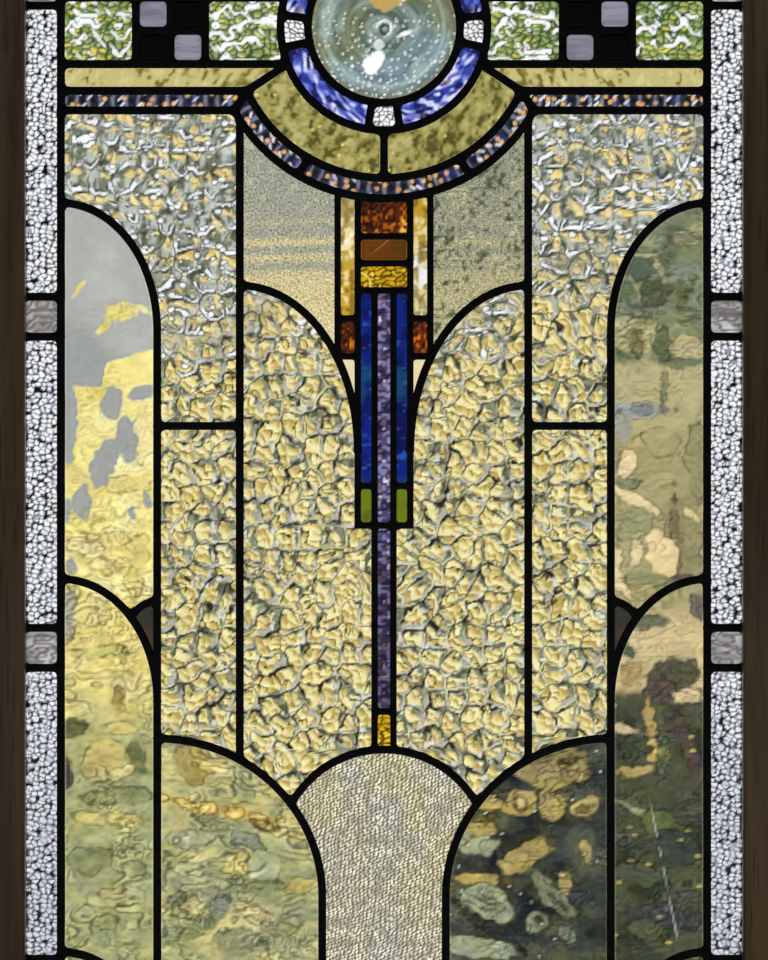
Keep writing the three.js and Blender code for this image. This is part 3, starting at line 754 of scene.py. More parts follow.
def patched(colour, x, z, seed, *patches):
    """Patches with wandering outlines and broken darker rims, laid one over another.

    Each patch is its colour, its middle, its half sizes and how far it leans, in degrees.
    """
    broken = 0.15 + 0.6 * ease(-0.4, 0.3, drift(x, z, 7, seed - 1))
    for count, (shade, middle, half, lean) in enumerate(patches):
        inside, rim = blob(x, z, middle, half, lean, seed + 2 * count)
        colour = paint(colour, np.multiply(shade, 0.55), rim * broken)
        colour = paint(colour, shade, inside)
    return colour


def slopes(height, x, z):
    """How steeply a height rises towards the right and upwards, over a grid of places."""
    right = np.gradient(height, axis=1) / np.gradient(x, axis=1)
    up = (np.gradient(height, axis=0) - right * np.gradient(x, axis=0)) / np.gradient(z, axis=0)
    return right, up


def threads(field, spacing, width, x, z):
    """Thin lines of about this width where a field crosses multiples of the spacing."""
    steep = np.hypot(*slopes(field, x, z)) + 0.01
    away = np.abs(field / spacing - np.round(field / spacing)) * spacing / steep
    return ease(width, width / 3, away)


def plain(x, *colour):
    """One colour for every place."""
    return np.broadcast_to(np.asarray(colour, float), (*x.shape, 3))


def softened(values):
    """Each value averaged with its neighbours, half its own and a quarter of each, both ways."""
    for axis in (0, 1):
        values = np.swapaxes(values, 0, axis)
        outer = np.concatenate([values[:1], values, values[-1:]])
        values = np.swapaxes((outer[:-2] + 2 * outer[1:-1] + outer[2:]) / 4, 0, axis)
    return values


def fours(count):
    """The whole number of steps nearest to this that four divides, and at least four."""
    return max(4, 4 * round(count / 4))


def add_pane(name, grid, look, sheet, solid):
    """A closed pane of a sheet of glass over a grid of places, standing for a solid.

    look(x, z, inset) gives the height of the relief and the colour at each place, which lies this
    far in from the pane's edge. Both are the mean of four looks a quarter step off, and the colour
    is then made crisper by most of what softening would take from it. The front follows the grid
    and the back takes every fourth point of it. Light passes both, so the back carries a softened
    colour that is nowhere darker, and the front the rest: colour squared over the softened one.
    """
    x, z = grid
    rows, columns = x.shape[0] - 1, x.shape[1] - 1
    across = np.hypot(np.diff(x, axis=1), np.diff(z, axis=1)).mean(axis=1)
    from_sides, from_ends = (
        np.minimum(np.arange(steps + 1), steps - np.arange(steps + 1)) for steps in (columns, rows)
    )
    inset = np.minimum(from_sides * across[:, None], from_ends[:, None] * sheet.pitch)
    quarter = sheet.pitch / 4
    looks = [look(x + i, z + j, inset) for i in (-quarter, quarter) for j in (-quarter, quarter)]
    height, colour = (sum(found) / 4 for found in zip(*looks))
    height = height * ease(COVERED, CLEAR_OF_LEAD, inset)
    colour = colour + CRISPER * (colour - softened(colour))
    front = np.stack([x, -GLASS - height, z], axis=-1).reshape(-1, 3)
    back = np.stack([x, np.full(x.shape, GLASS), z], axis=-1)[::4, ::4].reshape(-1, 3)

    f = np.arange(front.shape[0]).reshape(x.shape)
    b = len(front) + np.arange(len(back)).reshape(rows // 4 + 1, columns // 4 + 1)
    front_faces = np.stack([f[:-1, :-1], f[:-1, 1:], f[1:, 1:], f[1:, :-1]], axis=-1)
    back_faces = np.stack([b[:-1, :-1], b[1:, :-1], b[1:, 1:], b[:-1, 1:]], axis=-1)

    def wall(f_edge, b_edge):
        sides = [f_edge[i : len(f_edge) - 4 + i : 4] for i in range(4)]
        return np.stack([*sides, f_edge[4::4], b_edge[1:], b_edge[:-1]], axis=-1)

    walls = [wall(f[0], b[0])[:, ::-1], wall(f[-1], b[-1])]
    walls += [wall(f[:, 0], b[:, 0]), wall(f[:, -1], b[:, -1])[:, ::-1]]
    faces = [front_faces.reshape(-1, 4), back_faces.reshape(-1, 4), *walls]
    points = np.vstack([front, back])
    pane = add_piece(name, points, faces, sheet.material, sheet.slot, [solid], flat=(2, 3, 4, 5))

    through = linear(np.clip(colour, 0, 255))
    behind = through
    for _ in range(TINT_REACH):
        behind = np.maximum(softened(behind), through)
    before = np.clip(through**2 / (behind + 1e-4), 0, 1)
    tint = np.ones((len(front) + len(back), 4), np.float32)
    tint[: len(front), :3] = before.reshape(-1, 3)
    tint[len(front) :, :3] = behind[::4, ::4].reshape(-1, 3)
    pane.data.attributes.new("tint", "FLOAT_COLOR", "POINT").data.foreach_set("color", tint.ravel())


def add_pair(name, grid, look, sheet, solid, left_look=None):
    """A pane on the right and its twin on the left, which may have a look of its own."""
    for side, places, own in (("left", flipped(grid), left_look or look), ("right", grid, look)):
        add_pane(f"{name}_{side}", places, own, sheet, solid.format(side))


def line_at(line, places):
    """A line at some places along it. It is a number where it doesn't change, or a function."""
    return line(places) if callable(line) else np.full(places.shape, float(line))


def ruled(sheet, left, right, low, high):
    """A grid of places between two lines that give x at height z, from low to high."""
    z = np.linspace(low, high, fours((high - low) / sheet.pitch) + 1)
    x_left, x_right = line_at(left, z), line_at(right, z)
    x_right = np.maximum(x_right, x_left + NARROWEST)
    part = np.linspace(0, 1, fours((x_right - x_left).max() / sheet.pitch) + 1)
    x = x_left[:, None] + (x_right - x_left)[:, None] * part
    return x, np.broadcast_to(z[:, None], x.shape)


def box_grid(sheet, left, right, low, high):
    """A grid of places in a rectangle between four lead lines."""
    return ruled(sheet, left + KERF, right - KERF, low + KERF, high - KERF)


def round_grid(sheet, inner, outer, start, stop):
    """A grid of places between two circles about the eye, from a higher angle to a lower one.

    start and stop give the angle in degrees at each radius, and the glass stops the kerf short.
    """
    radius = np.linspace(inner + KERF, outer - KERF, fours((outer - inner) / sheet.pitch) + 1)
    kerf = np.degrees(KERF / radius)
    first, last = line_at(start, radius) - kerf, line_at(stop, radius) + kerf
    length = np.radians(np.abs(first - last)).max() * outer
    part = np.linspace(0, 1, fours(length / sheet.pitch) + 1)
    turn = np.radians(first[:, None] + (last - first)[:, None] * part)
    return radius[:, None] * np.cos(turn), EYE_Z + radius[:, None] * np.sin(turn)


def flipped(grid):
    """The same places on the other side of the window's middle line."""
    return -grid[0][:, ::-1], grid[1][:, ::-1]


def about_eye(look, radius, way=-1):
    """A look laid round the eye: its x runs along the circle and its z outwards from it."""

    def turned(x, z, inset):
        along = radius * np.arctan2(x, way * (z - EYE_Z))
        return look(along, np.hypot(x, z - EYE_Z) - radius, inset)

    return turned


# The skin of pressed or blown glass: soft ripples a few millimetres long, and seeds, which are
# small bubbles. It gives a height for the bump and a little variation of the tint.
skin, skin_in, skin_out = shader_group(
    "glass_skin",
    [
        ("Tint", "NodeSocketColor", (1, 1, 1, 1)),
        ("Ripple", "NodeSocketFloat", 250),
        ("Fleck", "NodeSocketFloat", 0.1),
        ("Seeds", "NodeSocketFloat", 120),
    ],
    [("Color", "NodeSocketColor"), ("Height", "NodeSocketFloat")],
)
skin_place = object_place(skin)
ripple = noise(skin, skin_place, skin_in.outputs["Ripple"], Detail=3.0, Roughness=0.6)
seed_links = {"Vector": skin_place, "Scale": skin_in.outputs["Seeds"]}
seed_spot = eased(skin, node(skin, "ShaderNodeTexVoronoi", seed_links), 0.10, 0.04)


def sums(tree, first, operation, second):
    """A number worked out from two others."""
    return node(tree, "ShaderNodeMath", {0: first, 1: second}, operation=operation)


def vectors(tree, first, operation, second):
    """A vector or a colour worked out from another with a second one, or with a number's scale."""
    links = {0: first, ("Scale" if operation == "SCALE" else 1): second}
    return node(tree, "ShaderNodeVectorMath", links, operation=operation)


fleck = sums(skin, sums(skin, ripple, "SUBTRACT", 0.5), "MULTIPLY", skin_in.outputs["Fleck"])
lighter = sums(skin, fleck, "ADD", 1.0)
flecked = vectors(skin, skin_in.outputs["Tint"], "SCALE", lighter)
feed(skin, skin_out, {"Color": flecked, "Height": sums(skin, ripple, "ADD", seed_spot)})

# A sheet of glass has its material, its slot, and the pitch of the grid that its relief needs, mm.
Sheet = namedtuple("Sheet", "material slot pitch")


def glass(name, slot, pitch, ripple=250, fleck=0.2, seeds=120, relief=0.15, **values):
    """A sheet of glass that takes the pane's own tint, with more plain values of its shader."""
    values = {"Roughness": 0.03, "IOR": 1.45, "Transmission_Weight": 1.0, **values}
    material, tree, shader = new_material(name, **values)
    surface = node(tree, "ShaderNodeGroup", {}, node_tree=skin)
    tint = node(tree, "ShaderNodeAttribute", {}, attribute_name="tint")
    feed(tree, surface, {"Tint": tint, "Ripple": ripple, "Fleck": fleck, "Seeds": seeds})
    ripples = bump(tree, surface.outputs["Height"], relief, 0.0005)
    feed(tree, shader, {"Base Color": surface, "Normal": ripples})
    return Sheet(material, slot, pitch)


# ---- The clear hammered fields -----------------------------------------------------------------
# Clear glass pressed with rosettes about as wide as a thumb, each of a few rounded facets. Every
# facet bends the view its own way, so its upper left looks warm and its lower right grey; this
# light and shade is painted into the tint. The upper fields lean to the sky and have more grey,
# and painted white highlights in crescents under the rosettes.
HAMMERED = glass(
    "hammered_glass", "hammered_clear_glass", 1.2, ripple=300, fleck=0.25, relief=0.1
)
FACET, ROSETTE = 6.0, 15.5


def hammered(x, z, inset):
    """Rosettes seen against the light.

    A rosette is a warm body of a few facets, gold and cream by painted light on the way each one
    leans, with painted shade in creases above some of them. Its upper left edge is painted shade,
    its right grey and grey-green painted shade, and a thin pale painted highlight lies between
    rosettes. Sky is how much sky the glass sees: with it the bodies turn grey-green with gold only
    along the top, white painted highlights in crescents lie at the foot, and white painted
    highlights lie about in dabs.
    """
    sky = ease(590, 770, z + 30 * drift(x, z, 60, 5))
    wave_x = x + 4 * drift(x, z, 34, 17) + 2.4 * drift(x, z, 9, 1) + 0.9 * drift(x, z, 3.5, 12)
    wave_z = z + 4 * drift(x, z, 34, 18) + 2.4 * drift(x, z, 9, 2) + 0.9 * drift(x, z, 3.5, 13)
    edge, home_x, home_z, draw = cells(wave_x, wave_z, ROSETTE, 3)
    out = np.hypot(home_x, home_z) + 1e-3
    right, up = -home_x / out, -home_z / out
    facet_edge, facet_x, facet_z, facet_draw = cells(wave_x, wave_z, FACET, 4)
    facet_lit = (0.6 * facet_x + 0.8 * facet_z) / 2.4
    wobble, far = drift(x, z, 5, 7), drift(x, z, 26, 9)
    height = 0.55 * np.sin(np.clip(edge / 4, 0, 1) * np.pi / 2)
    height = height + 0.35 * np.sin(np.clip(facet_edge / 2.2, 0, 1) * np.pi / 2)

    # Painted light from beyond the glass: a grey ground, darker and greener towards the upper side
    # of each rosette, and grey-green where the glass sees sky.
    colour = paint((178, 178, 162), (130, 134, 108), ease(-0.6, 0.5, up + wobble + 0.6 * far))
    deep = paint((178, 184, 176), (106, 113, 96), ease(-0.3, 0.6, drift(x, 0.6 * z, 4, 26)))
    colour = colour + (deep - colour) * sky[..., None]
    # A grey rim of painted shade round each warm body, wider on its right and upper side.
    rim = 1.1 + 4.2 * ease(-0.5, 0.9, 0.8 * right + 0.6 * up) * (0.1 + draw) + 1.2 * far
    core = ease(-0.5, 0.7, edge - rim + 1.6 * wobble + 1.6 * (facet_draw - 0.5))
    crest = ease(0.1, 0.6, up + 0.5 * right + 0.4 * wobble)
    crest = crest * ease(7.0, 5.5, edge) * ease(0.9, 1.7, edge)
    core = core + (crest * ease(0.25, 0.35, facet_draw) - core) * ease(0.3, 0.9, sky)
    # The gold is painted light: cream on the lit side of each facet and darker on its shaded side.
    gold = paint((224, 200, 116), (252, 240, 176), ease(-0.4, 0.9, facet_lit - 0.5 + facet_draw))
    gold = paint(gold, (180, 156, 84), ease(0.2, -0.9, facet_lit - 0.3 + 0.7 * facet_draw) * 0.9)
    gold = paint(gold, (230, 194, 122), 0.5 * sky)
    # Painted shade in the creases on the shaded side of some facets.
    crease_shade = ease(1.3, 0.5, facet_edge) * ease(0.1, -0.6, facet_lit)
    crease_shade = crease_shade * ease(0.0, 0.4, drift(x, z, 6, 19))
    # Painted shade along each rosette's upper left edge.
    shade = ease(-0.15, 0.6, 0.75 * up - 0.65 * right + 0.7 * drift(x, z, 7, 14))
    shade = shade * ease(2.1, 1.0, edge + 1.2 * wobble)
    # A thin pale painted highlight between rosettes.
    line = ease(0.9, 0.3, edge) * ease(-0.2, 0.5, drift(x, z, 9, 16))
    colour = layered(
        colour,
        ((70, 74, 54), ease(0.1, 0.6, drift(x, z, 4, 15)) * 0.7 * (1 - 0.3 * sky)),
        ((218, 222, 212), ease(0.4, 0.75, drift(x, z, 4, 20)) * (1 - 0.3 * sky)),
        (gold, core),
        ((44, 38, 20), crease_shade * (0.3 + 0.65 * core) * (1 - 0.4 * sky)),
        ((34, 30, 18), shade * (0.9 - 0.45 * sky)),
        ((244, 234, 184), line * 0.8 * (1 - 0.6 * sky)),
    )
    # Painted light: a little brighter where the glass sees sky.
    colour = colour * (0.955 + 0.045 * sky)[..., None]

    # White painted highlights in crescents at the foot of the rosettes and in dabs about them, each
    # with a dark rim of painted shade.
    open_sky = ease(0.35, 0.55, sky + 0.3 * drift(x, z, 16, 24))
    foot = ease(0.45, 0.75, 0.4 * drift(x, z, 7, 23) - up + 0.5 * (draw - 0.5)) * open_sky
    reach = 3.6 + 1.6 * drift(x, z, 6, 11)
    crescent_highlight = ease(reach, reach - 1, edge) * ease(0.7, 1.3, edge) * foot
    _, dab_x, dab_z, dab_draw = cells(x, z * 1.5, 9, 8)
    highlight_dab = np.hypot(dab_x, dab_z * (1.5 - 0.6 * dab_draw)) + 0.8 * drift(x, z, 2.5, 25)
    dab_size = 1.0 + 1.6 * ease(0.6, 1, dab_draw)
    shown = ease(0.55, 0.59, dab_draw) * (0.1 + 0.9 * open_sky)
    colour = layered(
        colour,
        ((58, 70, 76), ease(reach + 1.8, reach + 0.4, edge) * foot * 0.9),
        ((255, 255, 255), crescent_highlight),
        ((66, 76, 76), ease(dab_size + 1.2, dab_size + 0.3, highlight_dab) * shown * 0.8),
        ((252, 254, 255), ease(dab_size + 0.2, dab_size - 0.6, highlight_dab) * shown),
    )
    return height, colour


def past_fan(x):
    """A pane's inner line: a kerf past the fan's rim, or past a plumb lead that is further out."""
    return lambda z: np.maximum(x, circle_x(RIM_R, z)) + KERF


def short_of(arch, x):
    """A pane's outer line: a kerf short of an arch, or of a plumb lead where that is nearer."""
    return lambda z: np.minimum(arch_x(arch, z, KERF), x - KERF)


def past_dome(z):
    """The inner line of a centre field: under its shoulder, down the spine, then past the dome."""
    above = np.where(z > FOOT_Z, np.minimum(arch_x(SHOULDER, z, -KERF), FIELD_X), SPINE_X + KERF)
    return np.maximum(above, circle_x(DOME_R + KERF, z, DOME_Z))


upper_strip, lower_strip = FAN_LINES["upper"][3][1], FAN_LINES["lower"][3][1]
wave_corner = arch_z(WAVE, FIELD_X)
for place, left, right, low, high in (
    ("head_field", past_fan(FIELD_X), BORDER_X - KERF, upper_strip, BORDER_HIGH),
    ("shoulder_field", past_fan(FIELD_X), short_of(TIERS[0], BORDER_X), CROSSBAR_Z, lower_strip),
    ("flank_field", FIELD_X + KERF, short_of(WAVE, ARCH_X), wave_corner + KERF, CROSSBAR_Z),
    ("centre_field", past_dome, short_of(WAVE, FIELD_X), DOME_END + KERF, SHOULDER[1]),
):
    grid = ruled(HAMMERED, left, right, low + KERF, high - KERF)
    add_pair(f"hammered_{place}", grid, hammered, HAMMERED, place + "_{}")

# ---- The fine-grained panels -------------------------------------------------------------------
# Clear granite glass, pitted all over, with warm bands of painted light from beyond lying level
# across it. Two panels stand beside the column and two beside the upper fan.
GRANITE = glass(
    "granite_glass", "granite_clear_glass", 1.5, ripple=620, fleck=4.5, relief=0.25
)


def granite(x, z, inset):
    """Grey-beige with fine pits, under ochre bands that close up lower down."""
    pits = drift(x, z, 3.1, 21) * 0.6 + drift(x, z, 5.5, 22) * 0.4
    # The warm bands and the paler bottom are painted light from beyond the glass.
    level = z + 2.5 * drift(x, z, 34, 23) + 1.2 * drift(x, z, 9, 25)
    warm = 0.35 * band(level, 753, 5) + 0.9 * band(level, 738, 6) + 0.8 * band(level, 724, 7)
    warm = np.clip(warm + ease(719, 708, level), 0, 1)
    colour = layered(
        (156, 157, 139),
        ((222, 202, 144), warm * (0.8 + 0.2 * pits)),
        ((196, 192, 162), ease(0.2, 0.7, pits) * 0.6),
        ((240, 226, 170), ease(700, 660, z) * 0.5),
    )
    return 0.12 * pits, colour


def granite_right(x, z, inset):
    """The same glass, greyer and greener, with dark grains and light ones."""
    height, colour = granite(-x, z, inset)
    # Greyer and greener painted light from beyond the glass.
    colour = paint(colour, (130, 132, 104), np.full(x.shape, 0.42))
    grains = drift(x, z, 2.6, 27) + 0.5 * drift(x, z, 12, 28)
    colour = paint(colour, (70, 72, 52), ease(0.2, 0.9, grains) * 0.8)
    return height, paint(colour, (198, 188, 140), ease(-0.4, -1.0, grains) * 0.7)


def short_of_shoulder(z):
    """The outer line of a panel beside the column: over the shoulder, then plumb."""
    return np.where(z < SHOULDER[1], short_of(SHOULDER, FIELD_X)(z), FIELD_X - KERF)


for place, left, right, low, high in (
    ("grain_panel", past_fan(COLUMN_X), short_of_shoulder,
     arch_z(SHOULDER, COLUMN_X) + KERF, circle_z(RIM_R, FIELD_X, -1)),
    ("head_centre", past_fan(0), FIELD_X - KERF, circle_z(RIM_R, FIELD_X, 1), BORDER_HIGH),
):
    grid = ruled(GRANITE, left, right, low + KERF, high - KERF)
    add_pair(f"granite_{place}", grid, granite_right, GRANITE, place + "_{}", granite)

# ---- The border --------------------------------------------------------------------------------
# Strips of clear pebbled glass, the pebbles white painted highlights between near-black painted
# shade, and squares of wispy opal. They stand in the lead between the field and the groove, with a
# short lead on each side of a square.
PEBBLED = glass("pebbled_glass", "border_glass", 1.1, ripple=350, fleck=0.1, relief=0.1)
OPAL = glass("opal_glass", "opal_glass", 1.5, ripple=160, fleck=0.15, relief=0.08, Roughness=0.35)


def pebbled(x, z, inset):
    """Flattened round pebbles a few millimetres wide as painted highlights, in dark and blue-grey
    painted shade.
    """
    bend_x = x + 0.9 * drift(x, z, 4, 34)
    bend_z = z + 0.9 * drift(x, z, 4, 35) + 0.25 * x
    edge, to_x, to_z, draw = cells(bend_x * 0.8, bend_z * 1.05, 3.9, 32)
    low = ease(700, 200, z)
    round_edge = np.minimum(edge - 0.1, 1.95 + 0.7 * draw - np.hypot(to_x, to_z))
    height = 0.5 * np.sin(np.clip(round_edge / 1.5, 0, 1) * np.pi / 2)
    # Painted shade between the pebbles, less deep low down, and white painted highlights on them,
    # greyer low down and in some pebbles.
    colour = paint((0, 4, 22), (34, 36, 44), low)
    colour = paint(colour, (138, 144, 162), ease(0.2, 0.6, drift(x, z, 3, 33)))
    bright = paint((254, 255, 255), (176, 180, 190), low * 0.7 + 0.3 * ease(0.75, 1, draw))
    return height, paint(colour, bright, ease(0.0, 0.6, round_edge - 0.2 * ease(-1, 1, to_z)))


def opal(x, z, inset):
    """Mauve-grey with wisps that lean and thin brown lines, brown in one corner."""
    wisp = drift(x + z + 3 * drift(x, z, 12, 41), (z - x) * 0.25, 4.5, 42)
    level = threads(clouds(0.5 * x, 1.6 * z, 16, 44), 0.22, 1.2, x, z)
    colour = layered(
        (152, 149, 149),
        ((198, 193, 198), ease(-0.3, 0.8, wisp)),
        ((96, 90, 86), level * 0.8),
        ((118, 110, 102), ease(0.1, 0.8, drift(x, z, 17, 43)) * 0.4),
    )
    return 0.15 * wisp, colour


def add_border(square, run, part, *lines, flip=False):
    """A square of opal or a strip of pebbled glass between four lead lines of a border run."""
    name, look, sheet = ("opal", opal, OPAL) if square else ("pebbled", pebbled, PEBBLED)
    grid = box_grid(sheet, *lines)
    add_pane(f"{name}_{run}_{part}", flipped(grid) if flip else grid, look, sheet, f"border_{run}")


edges = [z + step for z in SQUARE_MIDDLES for step in (-SQUARE_HALF, SQUARE_HALF)]
edges = [RIM_LOW, BORDER_LOW, *edges, BORDER_HIGH, RIM_HIGH]
for side in ("left", "right"):
    for count, ends in enumerate(zip(edges[:-1], edges[1:])):
        add_border(count % 2 == 0, side, count, BORDER_X, RIM_X, *ends, flip=side == "left")
for run, *ends in (("bottom", RIM_LOW, BORDER_LOW), ("top", BORDER_HIGH, RIM_HIGH)):
    add_border(False, run, "left", -BORDER_X, -SQUARE_HALF, *ends)
    add_border(True, run, "middle", -SQUARE_HALF, SQUARE_HALF, *ends)
    add_border(False, run, "right", SQUARE_HALF, BORDER_X, *ends)

# ---- The band ----------------------------------------------------------------------------------
# Rippled green glass with white lights on each side of the checkers, which are lavender opal and
# polished black.
GREEN = glass("rippled_green_glass", "green_glass", 1.2, ripple=200)
LAVENDER = glass(
    "lavender_glass", "lavender_glass", 1.5, ripple=260, fleck=0.1, relief=0.05, Roughness=0.4
)
BLACK = glass(
    "black_glass", "black_glass", 4, relief=0.05, Roughness=0.25, Transmission_Weight=0.0,
    Specular_IOR_Level=0.2,
)


def green(x, z, inset):
    """Round green facets with painted light on one side and painted shade at the rims, some yellow,
    under thick white painted highlights that wander.
    """
    bend_x, bend_z = x + 3 * drift(x, z, 9, 51), z + 3 * drift(x, z, 9, 52)
    edge, to_x, to_z, draw = cells(bend_x, 1.4 * bend_z, 6.5, 55)
    tone = clouds(x, z, 9, 54)
    lit = (0.5 * to_x + 0.8 * to_z) / 3
    net = z / 13 + 0.55 * drift(x, z, 9, 53) + 0.28 * drift(x, z, 4.5, 58)
    light = threads(net, 1.0, 2.1 + 1.0 * drift(x, z, 7, 56), x, z)
    light = light * ease(-0.2, 0.1, drift(x, z, 11, 57))
    _, dab_x, dab_z, dab_draw = cells(x, z, 8, 59)
    highlight_dab = np.abs(dab_x + 0.8 * dab_z) / 1.4 + np.abs(dab_z) / 4
    light = np.maximum(light, ease(1.3, 0.6, highlight_dab) * ease(0.6, 0.65, dab_draw))
    # The lit side and the darker rims of the facets, and the dark edges of the white lights, are
    # painted light and shade.
    colour = layered(
        (122, 142, 78),
        ((192, 196, 124), ease(-0.2, 0.8, lit + 0.5 * tone)),
        ((222, 202, 74), ease(0.74, 0.8, draw) * ease(-0.3, 0.4, lit)),
        ((46, 72, 40), ease(1.8, 0.1, edge + 0.8 * tone) * 0.85),
        ((36, 66, 48), ease(0.0, 0.25, light) * 0.85),
        ((252, 255, 252), ease(0.3, 0.6, light)),
    )
    return 0.5 * drift(x, z, 9, 53), colour


def lavender(x, z, inset):
    """Lavender-grey with fine level streaks."""
    streak = drift(x * 0.12, z + drift(x, z, 10, 61), 1.6, 62)
    colour = paint((122, 122, 134), (142, 141, 155), ease(-0.5, 0.6, streak))
    colour = paint(colour, (106, 106, 118), ease(0.2, 0.9, drift(x, z, 14, 63)) * 0.6)
    return 0.03 * streak, colour


def black(x, z, inset):
    """The same near-black all over."""
    return np.zeros(x.shape), plain(x, 4, 4, 5)


outer_green = CHECKER_OUT + KERF, BORDER_X - KERF
inner_green = lambda z: circle_x(RING_R + KERF, z), CHECKER_IN - KERF
for place, lines in (("outer", outer_green), ("inner", inner_green)):
    grid = ruled(GREEN, *lines, BAND_LOW + KERF, BAND_HIGH - KERF)
    add_pair(f"rippled_green_{place}", grid, green, GREEN, f"green_{place}_{{}}")
for row, *ends in (("low", BAND_LOW, BAND_Z), ("high", BAND_Z, BAND_HIGH)):
    for column, *lines in (("in", CHECKER_IN, CHECKER_MID), ("out", CHECKER_MID, CHECKER_OUT)):
        pale_one = (row == "high") == (column == "out")
        look, sheet = (lavender, LAVENDER) if pale_one else (black, BLACK)
        grid = box_grid(sheet, *lines, *ends)
        add_pair(f"check_{row}_{column}", grid, look, sheet, "checker_{}")

# ---- The fans and the strips -------------------------------------------------------------------
# Hammered olive glass in the fans and in the strips that run on from them, and slate-coloured
# reeded glass with amber flecks in the rims outside them.
OLIVE = glass("olive_glass", "olive_glass", 1.2, ripple=260, fleck=0.3)
SLATE = glass("slate_glass", "slate_glass", 1.2, ripple=260, fleck=0.25, relief=0.12)


def olive(x, z, inset):
    """Olive, with darker strokes and mottles that lean, lit edges and a few yellow specks."""
    along, over = x * 0.42 + z * 0.9, z * 0.42 - x * 0.9
    mottle = drift(over + 1.5 * drift(x, z, 7, 71), along * 0.6, 4.0, 72)
    mottle = 0.8 * mottle + 0.5 * drift(x, z, 2.4, 73)
    _, to_x, to_z, draw = cells(x, z, 13, 74)
    colour = layered(
        (152, 144, 80),
        ((84, 80, 36), ease(-0.1, 0.7, mottle)),
        ((190, 182, 120), ease(-0.1, -0.8, mottle) * 0.8),
        ((240, 222, 120), ease(1.4, 0.7, np.hypot(to_x, to_z)) * (draw > 0.7)),
        ((240, 228, 158), band(inset, 1.4, 1.4) * 0.7),
    )
    return 0.35 * mottle, colour


def olive_strip(x, z, inset):
    """The same glass, smoother, with separate strokes that lean back."""
    way = np.sign(x.mean())
    over = way * x * 0.85 + z * 0.5 + 1.5 * drift(x, z, 6, 75)
    stroke = drift(over, (z - way * x * 0.6) * 0.35, 3.4, 76) + 0.3 * drift(x, z, 2.2, 77)
    inner = ease(250, 120, np.abs(x))
    colour = layered(
        (192, 182, 120),
        ((118, 110, 48), ease(0.5 - 0.35 * inner, 0.8, stroke)),
        ((216, 208, 146), ease(-0.3, -0.8, stroke) * 0.6),
        # A pale painted highlight along the pane's edge.
        ((242, 232, 160), band(inset, 1.4, 1.5) * 0.8),
    )
    return 0.3 * stroke, colour


def slate(x, z, inset):
    """Dark reeds across the strip with lilac edges, amber flecks in them and white-blue glints."""
    reed = x / 9.6 + 0.25 * drift(x, z, 12, 81)
    part = reed - np.floor(reed) - 0.5
    edge = ease(0.30, 0.47, np.abs(part) + 0.06 * drift(x, z, 3, 82))
    _, to_x, to_z, draw = cells(x, z, 6.6, 84)
    colour = layered(
        (40, 43, 56),
        ((18, 20, 28), ease(0.5, 0.1, np.hypot(part * 1.6, z / 9))),
        ((128, 130, 154), edge * 0.8),
        ((50, 62, 136), ease(0.2, 0.7, drift(x, z, 7, 83)) * 0.6),
        ((216, 160, 92), ease(2.2, 1.3, np.hypot(to_x, to_z)) * ease(0.48, 0.52, draw)),
    )
    _, to_x, to_z, draw = cells(x, z, 7.4, 85)
    stroke = np.hypot((to_x + to_z) / 4.2, (to_z - to_x) / 1.1)
    colour = paint(colour, (228, 234, 255), ease(1.3, 0.7, stroke) * ease(0.48, 0.53, draw))
    return 0.4 * np.cos(part * 2 * np.pi), colour


def end_line(one, other):
    """The angle about the eye, at each radius, of a straight lead between two points."""
    share = np.linspace(0, 1, 24)[:, None]
    line = np.asarray(one) * (1 - share) + np.asarray(other) * share
    radii = np.hypot(line[:, 0], line[:, 1] - EYE_Z)
    turns = np.degrees(np.arctan2(line[:, 1] - EYE_Z, line[:, 0]))
    order = radii.argsort()
    return lambda radius: np.interp(radius, radii[order], turns[order])


for place, (way, root, fan_tip, rim_tip) in FAN_LINES.items():
    fan = round_grid(OLIVE, RING_R, FAN_R, *[end_line(root, fan_tip), way * 90][::-way])
    add_pair(f"olive_fan_{place}", fan, olive, OLIVE, f"fan_{place}_{{}}")
    rim_look = about_eye(slate, (FAN_R + RIM_R) / 2, way)
    split = way * (90 - RIM_SPLIT)
    rim_side = round_grid(SLATE, FAN_R, RIM_R, *[end_line(fan_tip, rim_tip), split][::-way])
    add_pair(f"slate_rim_{place}", rim_side, rim_look, SLATE, f"fan_rim_{place}")
    first, last = way * 90 + RIM_SPLIT, way * 90 - RIM_SPLIT
    rim_middle = round_grid(SLATE, FAN_R, RIM_R, first, last)
    add_pane(f"slate_rim_{place}_middle", rim_middle, rim_look, SLATE, f"fan_rim_{place}")
    for part, ends, look, sheet in (
        ("olive", (root, fan_tip), olive_strip, OLIVE), ("slate", (fan_tip, rim_tip), slate, SLATE)
    ):
        (low_x, low), (high_x, high) = sorted(ends, key=lambda end: end[1])
        slant = lambda z: np.interp(z, (low, high), (low_x, high_x)) + 1.2 * KERF
        strip = ruled(sheet, slant, BORDER_X - KERF, low + KERF, high - KERF)
        laid = lambda x, z, inset: look(x, z - (low + high) / 2, inset)
        add_pair(f"{part}_run_{place}", strip, laid, sheet, f"{part}_strip_{place}_{{}}")

# ---- The eye -----------------------------------------------------------------------------------
# A spun roundel of pale glass with its pontil mark, in a ring of cobalt streaked with white, which
# four squares of crackled white glass part.
SPUN = glass("roundel_glass", "roundel_glass", 1.3, ripple=80, fleck=0.1, relief=0.1)
COBALT = glass("cobalt_glass", "cobalt_glass", 1.1, ripple=200, fleck=0.3)
CRACKLED = glass("crackled_glass", "jewel_glass", 1.0, ripple=300, fleck=0.1)


